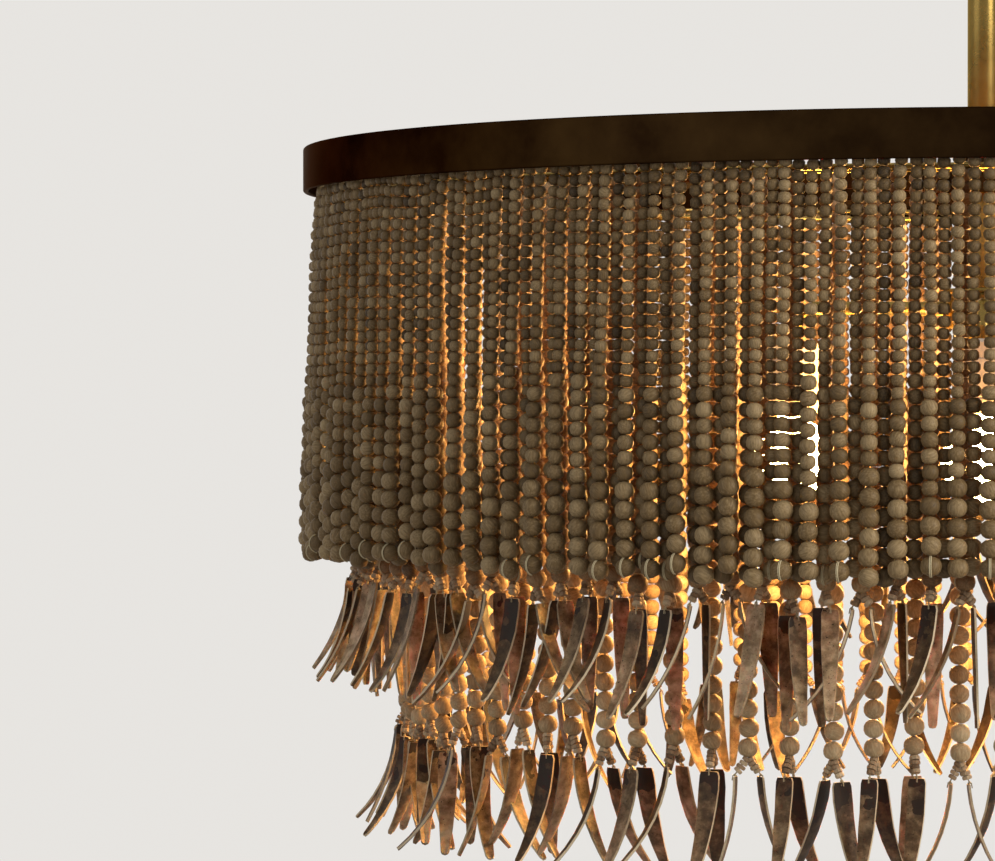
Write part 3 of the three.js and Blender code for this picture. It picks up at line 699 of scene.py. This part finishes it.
def drilled_bead(diameter, height, around, rings, squareness, hole):
    """The same bead with its thread hole."""
    bm = plain_bead(diameter, height, around, rings, squareness)
    poles = [v for v in bm.verts if v.co.xy.length < 0.01 * MM]
    lips = [[e.other_vert(pole) for e in pole.link_edges] for pole in poles]
    bmesh.ops.delete(bm, geom=poles, context="VERTS")
    for lip in lips:
        shrink = hole * MM / lip[0].co.xy.length
        bmesh.ops.scale(bm, vec=(shrink, shrink, 1), verts=lip)
        rise = copysign(height / 2 * MM * 0.97, lip[0].co.z) - lip[0].co.z
        bmesh.ops.translate(bm, vec=(0, 0, rise), verts=lip)
    bmesh.ops.bridge_loops(bm, edges=[e for e in bm.edges if e.is_boundary])
    bmesh.ops.recalc_face_normals(bm, faces=bm.faces)
    return bm


SMALL, MEDIUM, LARGE = (6.6, 5.8), (8.4, 7.6), (10.1, 9.5)
bead_shapes = {
    "small": (as_mesh(plain_bead(*SMALL, 8, 5, 2.7), "small_bead"), *SMALL),
    "medium": (as_mesh(plain_bead(*MEDIUM, 10, 6, 2.4), "medium_bead"), *MEDIUM),
    "large": (as_mesh(plain_bead(*LARGE, 12, 7, 2.2), "large_bead"), *LARGE),
    "end": (as_mesh(drilled_bead(*LARGE, 12, 8, 2.2, 1.1), "end_bead"), *LARGE),
}
for kind, (shape, diameter, height) in bead_shapes.items():
    print(kind, "bead:", diameter, "mm,", len(shape.polygons), "faces")

# %% [markdown]
# ## Threads
# Each string is looped over its rail, so a ring of thread is spun round the place of the wire. On some
# end beads the two ends of the thread come up over the bead's side, which is a part of a wider ring.

# %% Thread rings
RAIL_LOOP, THREAD = 1.9, 0.28


def thread_ring(radius, angle=TAU, steps=10):
    """A ring of thread about the Y axis, or as much of one as the angle says, from the +X side down."""
    bm = bmesh.new()
    section = bmesh.ops.create_circle(bm, cap_ends=False, segments=4, radius=THREAD * MM)["verts"]
    moved(bm, (radius, 0, 0))
    bmesh.ops.spin(
        bm, geom=section + bm.edges[:], cent=(0, 0, 0), axis=(0, 1, 0), angle=angle, steps=steps,
        use_merge=angle == TAU,
    )
    bmesh.ops.holes_fill(bm, edges=[e for e in bm.edges if e.is_boundary], sides=0)
    bmesh.ops.recalc_face_normals(bm, faces=bm.faces)
    for face in bm.faces:
        face.material_index = 1
    return bm


rail_loop = as_mesh(thread_ring(RAIL_LOOP), "rail_loop")
bead_stripe = as_mesh(thread_ring(LARGE[0] / 2 + 0.1, radians(150), 8), "bead_stripe")
print("a rail loop has", len(rail_loop.polygons), "faces")

# %% [markdown]
# ## Strings of beads
# No two strings hang quite alike, so a dozen are threaded for each kind. They differ in how many beads
# they have of each size, and every bead is a little larger or smaller, tilted and off the line. On one
# string in six the end bead has turned over and shows its hole, and on one in three the thread runs
# over it. Copies of the dozen fill the tier.

# %% Random draws and copies
rng = random.Random(23)


def either_way(most):
    """A random number from -most to most."""
    return rng.uniform(-most, most)


def any_place(reach):
    """A random place in the wood."""
    return [rng.uniform(0, reach) for _ in range(3)]


def rotation(angle, axis):
    """A turn about an axis through the origin."""
    return Matrix.Rotation(angle, 4, axis)


def translation(way):
    """A move by millimetres."""
    return Matrix.Translation(Vector(way) * MM)


def add_copy(bm, mesh, matrix):
    """Adds a copy of a mesh to the bmesh, placed by a matrix."""
    bm.from_mesh(mesh)
    bm.verts.ensure_lookup_table()
    bmesh.ops.transform(bm, matrix=matrix, verts=bm.verts[-len(mesh.vertices):])


# %% Threading one string
SWAY, OFF_LINE = 0.35, 0.25
TILTED, TURNED_OVER = 0.13, 1.1
STRIPE_START = rotation(radians(-70), "Y")


def thread_string(name, kinds, number, line):
    """One string of beads down from the origin, with its tone and grain values.

    The line says how far each bead stands out along +X, by its share of the way down.
    """
    bm = bmesh.new()
    tones, grains = [], []

    def add(shape, place, tone, span):
        add_copy(bm, shape, place)
        count = len(shape.vertices)
        unit = np.empty(count * 3)
        shape.vertices.foreach_get("co", unit)
        turn = rotation(rng.uniform(0, pi), "Z") @ rotation(rng.uniform(0, pi), "X")
        grains.append(unit.reshape(-1, 3) / span @ np.array(turn.to_3x3()) + any_place(40))
        tones.append(np.full(count, tone))

    add(rail_loop, translation((-1, 0, RAIL_LOOP)), 0.7, MM)
    sway = [rng.uniform(0, TAU) for _ in range(4)]
    base_tone = rng.uniform(0.38, 0.62)
    height = 0.0
    for index, kind in enumerate(kinds):
        shape, diameter, tall = bead_shapes[kind]
        size = rng.uniform(0.965, 1.03)
        out = line(index / len(kinds)) + SWAY * sin(index * 0.45 + sway[0]) + either_way(OFF_LINE)
        aside = SWAY * sin(index * 0.37 + sway[1]) + either_way(OFF_LINE)
        place = translation((out, aside, height - tall / 2 * size))
        height -= tall * size
        lean = TURNED_OVER if kind == "end" and number % 6 == 5 else TILTED
        tilt = rotation(either_way(lean), "X") @ rotation(either_way(lean), "Y")
        turn = rotation(rng.uniform(0, TAU), "Z")
        fit = Matrix.Diagonal((size, size, size * rng.uniform(0.98, 1.02), 1))
        add(shape, place @ tilt @ turn @ fit, base_tone + either_way(0.2), diameter / 2 * MM)
        if kind == "end" and number % 3 == 0:
            for beside in (-0.35, 0.35):
                add(bead_stripe, place @ translation((0, beside, 0)) @ STRIPE_START, 0.9, MM)
    mesh = as_mesh(bm, name)
    mesh.attributes.new("tone", "FLOAT", "POINT").data.foreach_set("value", np.concatenate(tones))
    grain = mesh.attributes.new("grain", "FLOAT_VECTOR", "POINT")
    grain.data.foreach_set("vector", np.concatenate(grains).ravel())
    return mesh, -height


# %% The strings of each tier
VARIANTS = 12
OUTER_COUNTS = [(19, 6, 4), (20, 5, 4), (18, 8, 3), (20, 6, 3), (19, 5, 5), (21, 4, 4)]
MIDDLE_COUNTS = [(16, 7, 5), (17, 6, 5), (15, 8, 5)]
INNER_COUNTS = [(18, 10, 10), (19, 9, 10), (17, 11, 10)]
FRONT_BOW, ROW_SPREAD = 7.4, 7.2


def dozen(name, counts, line=lambda share: 0):
    """Twelve strings with the given numbers of small, medium and large beads above the end bead."""
    made = []
    for i in range(VARIANTS):
        small, medium, large = counts[i % len(counts)]
        kinds = ["small"] * small + ["medium"] * medium + ["large"] * large + ["end"]
        made.append(thread_string(f"{name}_{i}", kinds, i, line))
    return made


def front_line(share):
    """How far out a bead of the front row is, from 0 at the rail."""
    return FRONT_BOW * share ** 0.6


def back_line(share):
    """The same for the back row, which stays behind."""
    return front_line(share) - ROW_SPREAD * share ** 1.5


outer_strings = dozen("front_string", OUTER_COUNTS, front_line)
outer_strings += dozen("back_string", OUTER_COUNTS, back_line)
middle_strings = dozen("middle_string", MIDDLE_COUNTS)
inner_strings = dozen("inner_string", INNER_COUNTS)
print("outer strings are", round(outer_strings[0][1], 1), "mm long")

# %% [markdown]
# ## Outer tier
# 336 strings hang side by side round the outer rail. Where the beads grow too large for one row, every
# second string stays behind, and the others bow out in front of it. The back row is painted darker as
# painted shade, and the front row a little lighter as painted light. The strings touch in small groups,
# with slits between the groups that the lamps shine through. Twelve panels share the tier, as in the
# imported model, and each swings with its own body.

# %% Filling a panel
def fill_panel(parts, places):
    """Adds one of the parts at each place. A place is (part number, matrix, tone, grain shift)."""
    bm = bmesh.new()
    tones, shifts = [], []
    for number, matrix, tone, shift in places:
        add_copy(bm, parts[number], matrix)
        count = len(parts[number].vertices)
        tones.append(np.full(count, tone))
        shifts.append(np.tile(shift, (count, 1)))
    return bm, np.concatenate(tones), np.concatenate(shifts)


def shift_values(piece, tones, shifts):
    """Adds a tone and a grain shift for each string to what its vertices already hold."""
    for name, kind, more in (("tone", "value", tones), ("grain", "vector", shifts.ravel())):
        data = piece.data.attributes[name].data
        held = np.empty(len(more))
        data.foreach_get(kind, held)
        data.foreach_set(kind, held + more)


# %% Outer tier
OUTER_PANELS, OUTER_PER_PANEL = 12, 28
OUTER_TOP, ROW_OFFSET = -410.1, 0.5
STRING_SHARE = 0.935
SLIT_CHANCE, WIDE_SLIT, NARROW_SLIT = 0.2, 1.0, 0.06
# Painted light: the front row's tone is raised a little and the back row's lowered, as painted light
# and painted shade.
FRONT_PAINTED_LIGHT, BACK_PAINTED_SHADE = 0.04, -0.12


def uneven_shares(count):
    """Places between 0 and 1 for strings that touch in groups, with slits between the groups."""
    slits = [WIDE_SLIT if rng.random() < SLIT_CHANCE else NARROW_SLIT for _ in range(count)]
    places, way = [], 0.0
    for slit in slits:
        free = (1 - STRING_SHARE) * slit / sum(slits)
        places.append(way + free / 2 + STRING_SHARE / count / 2)
        way += free + STRING_SHARE / count
    return places


outer_parts = [mesh for mesh, _ in outer_strings]
for panel in range(OUTER_PANELS):
    places = []
    for k, share in enumerate(uneven_shares(OUTER_PER_PANEL)):
        front = k % 2 == 0
        radius = OUTER_RAIL + 1 + (ROW_OFFSET if front else -ROW_OFFSET) + either_way(0.3)
        lower = rng.uniform(-0.4, 1.8)
        hang = (
            rotation((panel + share) * TAU / OUTER_PANELS, "Z")
            @ translation((radius, 0, OUTER_TOP - lower))
            @ rotation(either_way(0.005), "Y")
            @ rotation(either_way(0.004), "X")
            @ Matrix.Diagonal((1, 1, rng.uniform(0.992, 1.008) - lower / outer_strings[0][1], 1))
        )
        shift = any_place(60)
        number = rng.randrange(VARIANTS) + (0 if front else VARIANTS)
        places.append((number, hang, either_way(0.08) + (FRONT_PAINTED_LIGHT if front else BACK_PAINTED_SHADE), shift))
    bm, tones, shifts = fill_panel(outer_parts, places)
    name = f"outer_strands_{panel + 1}"
    piece = add_piece(
        f"outer_beads_{panel + 1}", bm, [outer_wood, thread], name, name, 80)
    shift_values(piece, tones, shifts)
print("outer tier:", OUTER_PANELS * OUTER_PER_PANEL, "strings")

# %% [markdown]
# ## Slivers
# The two inner tiers end in pairs of thin curved slivers, like slices of shell or horn. Each is a flat
# strip, broad and square at the top and narrow at the tip. A grid is drawn out to that outline, dished,
# given its thickness and then curled from the tip upwards, so that a pair curves apart.

# %% Sliver shape
SLIVER_LENGTH, SLIVER_WIDTH, SLIVER_THICKNESS = 60, 10.2, 1.1
ROW_SHARES = [0, 0.035, 0.15, 0.29, 0.43, 0.57, 0.71, 0.85, 0.975, 1]
WIDTH_SHARES = [0.82, 0.97, 1, 0.96, 0.89, 0.79, 0.67, 0.53, 0.38, 0.22]
DISHED = 0.7
GRAIN_STEP = 9 * MM
FACE_FINISH, EDGE_FINISH, DISC_FINISH, THREAD_FINISH = 0, 1, 2, 3


def sliver(curl):
    """One sliver that hangs from the origin. Its face looks along X, and its tip curls towards +X."""
    bm = bmesh.new()
    rows = len(ROW_SHARES) - 1
    bmesh.ops.create_grid(bm, x_segments=2, y_segments=rows, size=0.5)
    turned(turned(bm, pi / 2, "X"), pi / 2)
    length = SLIVER_LENGTH * rng.uniform(0.92, 1.04) * MM
    width = SLIVER_WIDTH * rng.uniform(0.80, 1.06) * MM
    lines = [[] for _ in ROW_SHARES]
    for v in bm.verts:
        lines[round((0.5 - v.co.z) * rows)].append(v)
    for line, down, wide in zip(lines, ROW_SHARES, WIDTH_SHARES):
        bmesh.ops.scale(bm, vec=(1, width * wide * rng.uniform(0.96, 1.04), 1), verts=line)
        bmesh.ops.translate(bm, vec=(0, 0, -down * length - line[0].co.z), verts=line)
    moved(bm, (-DISHED, 0, 0), [v for v in bm.verts if abs(v.co.y) < 0.01 * MM])
    bmesh.ops.solidify(bm, geom=bm.faces[:], thickness=SLIVER_THICKNESS * MM)
    bmesh.ops.recalc_face_normals(bm, faces=bm.faces)
    for face in bm.faces:
        face.material_index = FACE_FINISH if abs(face.normal.x) > 0.6 else EDGE_FINISH
    grain = bm.verts.layers.float_vector.new("grain")
    tone = bm.verts.layers.float.new("tone")
    number, darkness = rng.uniform(0, 40), rng.uniform(0, 1)
    for v in bm.verts:
        v[grain] = (v.co.y / GRAIN_STEP, -v.co.z / GRAIN_STEP, number + v.co.x / GRAIN_STEP)
        v[tone] = darkness
    bend = Matrix.Rotation(-curl / rows, 3, "Y")
    for share in reversed(ROW_SHARES[:-1]):
        below = [v for v in bm.verts if v.co.z < -share * length - 0.2 * MM]
        bmesh.ops.rotate(bm, cent=(0, 0, -share * length), matrix=bend, verts=below)
    return bm


# %% [markdown]
# ## Tails
# Below its last bead a string parts into two short legs. Each leg carries three or four small ridged
# discs and ends in a knotted loop through the top of a sliver. Eight different tails are tied for each
# tier. In the last four of the middle tier, the sliver on -X is nearly straight, so that it can face
# the inner strings.

# %% Disc, thread and knot
DISC_RADIUS, DISC_HEIGHT = 2.4, 2.2


def disc():
    """A small ridged disc about the origin."""
    r, h = DISC_RADIUS, DISC_HEIGHT / 2
    return spun([(0, h), (r * 0.9, h * 0.85), (r, 0), (r * 0.9, -h * 0.85), (0, -h)], 8)


def thread_between(start, end, radius=0.35):
    """A short straight run of thread."""
    bm = bmesh.new()
    run = (end - start) * MM
    bmesh.ops.create_cone(
        bm, cap_ends=True, segments=5, radius1=radius * MM, radius2=radius * MM, depth=run.length,
    )
    turn = run.to_track_quat("Z", "Y").to_matrix().to_4x4()
    bmesh.ops.transform(bm, matrix=translation((start + end) / 2) @ turn, verts=bm.verts)
    return bm


def knot(place):
    """A small round knot."""
    bm = bmesh.new()
    bmesh.ops.create_icosphere(bm, subdivisions=1, radius=0.8 * MM)
    return moved(bm, place)


def with_values(bm, finish, tone_value):
    """Gives a tail piece its finish, its tone and a grain place."""
    tone = bm.verts.layers.float.new("tone")
    grain = bm.verts.layers.float_vector.new("grain")
    start = Vector((0, 0, rng.uniform(0, 40)))
    for v in bm.verts:
        v[tone] = tone_value
        v[grain] = start + v.co / (3 * MM)
    for face in bm.faces:
        face.material_index = finish
    return bm


# %% Tying a tail
LEG_SPREAD = radians(33)
FIRST_DISC, DISC_STEP = 1.3, DISC_HEIGHT * 1.02
FULL_CURL, SLIGHT_CURL = (0.45, 1.05), (0.0, 0.13)
OPEN_TAILS = 4


def tail(name, discs, inward_curl=FULL_CURL):
    """Two legs of discs with a sliver each, hung from the origin. The inner sliver is the one on -X."""
    bm = bmesh.new()
    for side in (-1, 1):
        lean = side * LEG_SPREAD * rng.uniform(0.75, 1.2)
        along = Vector((sin(lean), 0, -cos(lean)))
        for i in range(discs):
            piece = disc()
            size = rng.uniform(0.88, 1.12)
            sit = (
                translation(along * (FIRST_DISC + DISC_STEP * i))
                @ rotation(-lean + either_way(0.2), "Y")
                @ Matrix.Diagonal((size, size, 1, 1))
            )
            bmesh.ops.transform(piece, matrix=sit, verts=piece.verts)
            join_into(bm, with_values(piece, DISC_FINISH, rng.uniform(0.2, 0.9)))
        end = along * (FIRST_DISC + DISC_STEP * discs + 0.6)
        hole = end + Vector((side * 0.5, 0, -2.6))
        bits = [thread_between(Vector((0, 0, 1)), end), knot(end)]
        for edge in (Vector((-0.8, 0, 0)), Vector((0.8, 0, 0))):
            bits.append(thread_between(end + edge, hole + edge, 0.3))
        for bit in bits:
            join_into(bm, with_values(bit, THREAD_FINISH, 0.5))
        curl = FULL_CURL if side > 0 else inward_curl
        sway = 0.10 if curl == FULL_CURL else 0.03
        blade = sliver(rng.uniform(*curl))
        face_out = 0 if side > 0 else pi
        hang = (
            translation(end + Vector((side * 0.4, 0, -0.8)))
            @ rotation(face_out + either_way(0.5), "Z")
            @ rotation(either_way(sway), "Y")
        )
        bmesh.ops.transform(blade, matrix=hang, verts=blade.verts)
        join_into(bm, blade)
    return as_mesh(bm, name)


curls = [FULL_CURL] * OPEN_TAILS + [SLIGHT_CURL] * OPEN_TAILS
middle_tails = [tail(f"middle_tail_{i}", 3, curl) for i, curl in enumerate(curls)]
inner_tails = [tail(f"inner_tail_{i}", 4) for i in range(len(curls))]
print("a tail has", len(middle_tails[0].polygons), "faces")

# %% [markdown]
# ## Sliver, disc and thread finishes
# A sliver is taupe to cream, with brown clouds all over and, on some slivers, dark blots with sharp
# edges near the top. `grain` holds the place on the sliver in steps of 9 mm, and `tone` says how dark
# the sliver is. The lamps shine through it a little, which subsurface light gives.

# %% Sliver finish
def sliver_finish():
    """Mottled shell that is darkest near the top of the sliver."""
    material, nodes, shader = new_material("mottled_shell")
    grain, tone = mesh_value(nodes, "grain")["Vector"], mesh_value(nodes, "tone")["Fac"]
    down = add_node(nodes, "SeparateXYZ", grain)["Y"]

    def scaled(value, factor, more):
        return maths(nodes, "MULTIPLY_ADD", value, factor, more)

    def above(value, limit):
        return maths(nodes, "GREATER_THAN", value, limit)

    clouds = scaled(noise(nodes, grain, 1.1, 5, 0.65), 1.15, -0.05)
    clouds = scaled(down, 0.035, scaled(tone, -0.42, clouds))
    body = colours(
        nodes, clouds, (0.10, (0.030, 0.017, 0.008)), (0.32, (0.095, 0.058, 0.027)),
        (0.52, (0.25, 0.170, 0.092)), (0.80, (0.55, 0.43, 0.27)),
    )
    # Blots reach further down on a dark sliver.
    reach = scaled(tone, 0.42, scaled(down, -0.13, 0.25))
    blots = above(maths(nodes, "ADD", noise(nodes, grain, 0.9, 3, 0.45), reach), 0.92)
    specks = above(noise(nodes, grain, 7.0, 2, 0.6), 0.68)
    dark = maths(nodes, "MULTIPLY", maths(nodes, "MAXIMUM", blots, specks), 0.92)
    set_inputs(
        shader, Base_Color=add_node(nodes, "MixRGB", dark, body, (0.020, 0.012, 0.007, 1))["Color"],
        Roughness=0.5, Specular_IOR_Level=0.16, Subsurface_Weight=0.5,
        Subsurface_Radius=(1.0, 0.45, 0.16), Subsurface_Scale=0.003,
        Normal=relief(nodes, noise(nodes, grain, 5.0, 4, 0.6), 0.3, 0.0003),
    )
    return material


shell = sliver_finish()
# The cut edges are paler than the faces: partly the cut's own colour and partly a painted highlight.
cut_edge_and_highlight = wood("pale_cut_edge_and_highlight", (0.22, 0.15, 0.085), (0.46, 0.36, 0.23), (0.66, 0.55, 0.38))
disc_wood = wood("ridged_disc", (0.11, 0.062, 0.032), (0.30, 0.20, 0.115), (0.55, 0.43, 0.28))
tail_finishes = [shell, cut_edge_and_highlight, disc_wood, thread]

# %% [markdown]
# ## Middle and inner tiers
# The middle tier has 132 strings and the inner one 96, each on its own rail. They hang straight down,
# and each string takes its tail at its own length. Some tails open along the tier and more of them
# across it. Beside a seam between two panels all of them open across, clear of the other panel.

# %% Middle and inner tiers
STRING_TOP, ACROSS_SHARE = -416.9, 0.6


def tail_turn(k, per_panel):
    """How far the tail of string k is turned from facing outwards, and whether it opens across."""
    if min(k, per_panel - 1 - k) < 2:
        return either_way(0.5), True
    if rng.random() < ACROSS_SHARE:
        return either_way(1.2), True
    return pi / 2 + either_way(0.3), False


def hang_tier(label, panels, per_panel, radius, strings, tails, finish):
    """Fills the panels of one tier with strings, and with the tails below them."""
    parts = [mesh for mesh, _ in strings]
    for panel in range(panels):
        bead_places, tail_places = [], []
        for k in range(per_panel):
            azimuth = (panel + (k + 0.5) / per_panel) * TAU / panels
            number = rng.randrange(VARIANTS)
            stretch = rng.uniform(0.99, 1.008)
            out, aside = radius + either_way(0.5), either_way(1.2)
            top = (out, aside, STRING_TOP + rng.uniform(-1.0, 0.6))
            here = rotation(azimuth, "Z") @ translation(top)
            turn = rotation(rng.uniform(0, TAU), "Z")
            hang = here @ Matrix.Diagonal((1, 1, stretch, 1)) @ turn
            shift = any_place(60)
            bead_places.append((number, hang, either_way(0.08), shift))
            drop = translation((0, 0, -strings[number][1] * stretch))
            angle, across = tail_turn(k, per_panel)
            number = rng.randrange(OPEN_TAILS) + (OPEN_TAILS if across else 0)
            place = here @ drop @ rotation(angle, "Z")
            tail_places.append((number, place, either_way(0.2), [0, 0, rng.uniform(0, 60)]))
        body = f"{label}_strands_{panel + 1}"
        bm, tones, shifts = fill_panel(parts, bead_places)
        name = f"{label}_beads_{panel + 1}"
        beads = add_piece(name, bm, [finish, thread], body, body, 80)
        shift_values(beads, tones, shifts)
        bm, tones, shifts = fill_panel(tails, tail_places)
        ends = add_piece(f"{label}_slivers_{panel + 1}", bm, tail_finishes, body, body)
        shift_values(ends, tones, shifts)
    print(label, "tier:", panels * per_panel, "strings")


hang_tier("middle", 6, 22, MIDDLE_RAIL, middle_strings, middle_tails, middle_wood)
hang_tier("inner", 6, 16, INNER_RAIL, inner_strings, inner_tails, inner_wood)

# %% [markdown]
# ## Bulbs
# Four round opal bulbs hang base up in their holders. The glass itself is the light: a warm emission
# that reddens the strings from inside, as in the photograph. The base is brass with a screw thread.

# %% Bulbs
NECK_TOP = HOLDER_BOTTOM - 0.3
GLOBE_RADIUS, NECK_RADIUS, NECK_LENGTH = 22.5, 9, 5
NECK_ANGLE = acos(NECK_RADIUS / GLOBE_RADIUS)
GLOBE_CENTRE = NECK_TOP - NECK_LENGTH - GLOBE_RADIUS * sin(NECK_ANGLE)
GLOBE_ROWS, THREAD_ROWS = 14, 16

opal, nodes, shader = new_material("lit_opal_glass")
set_inputs(
    shader, Base_Color=(1.0, 0.93, 0.82, 1), Roughness=0.25, Emission_Color=(1.0, 0.51, 0.14, 1),
    Emission_Strength=250,
)


def bulb():
    """A bulb about the Z axis: the glass first, then the threaded base."""
    arc = []
    for i in range(GLOBE_ROWS):
        angle = NECK_ANGLE - (NECK_ANGLE + pi / 2) * i / GLOBE_ROWS
        arc.append((GLOBE_RADIUS * cos(angle), GLOBE_CENTRE + GLOBE_RADIUS * sin(angle)))
    arc.append((0, GLOBE_CENTRE - GLOBE_RADIUS))
    neck = [(0, NECK_TOP), (NECK_RADIUS - 1.5, NECK_TOP), (NECK_RADIUS, NECK_TOP - 1.5)]
    glass = spun(neck + arc, 40)
    turns = [
        (6.4 + 0.6 * (i % 2), NECK_TOP - 0.2 + 24.6 * i / THREAD_ROWS) for i in range(THREAD_ROWS + 1)
    ]
    base = spun([(0, NECK_TOP - 0.2), *turns, (3.5, NECK_TOP + 25.6), (0, NECK_TOP + 25.6)], 32)
    for face in base.faces:
        face.material_index = 1
    return join_into(glass, base)


for k in range(4):
    name = f"bulb_{k + 1}"
    add_piece(f"lit_bulb_{k + 1}", at_lamp(bulb(), k), [opal, brass], name, name, 45)
print("bulb globe centre at", round(GLOBE_CENTRE, 1), "mm")
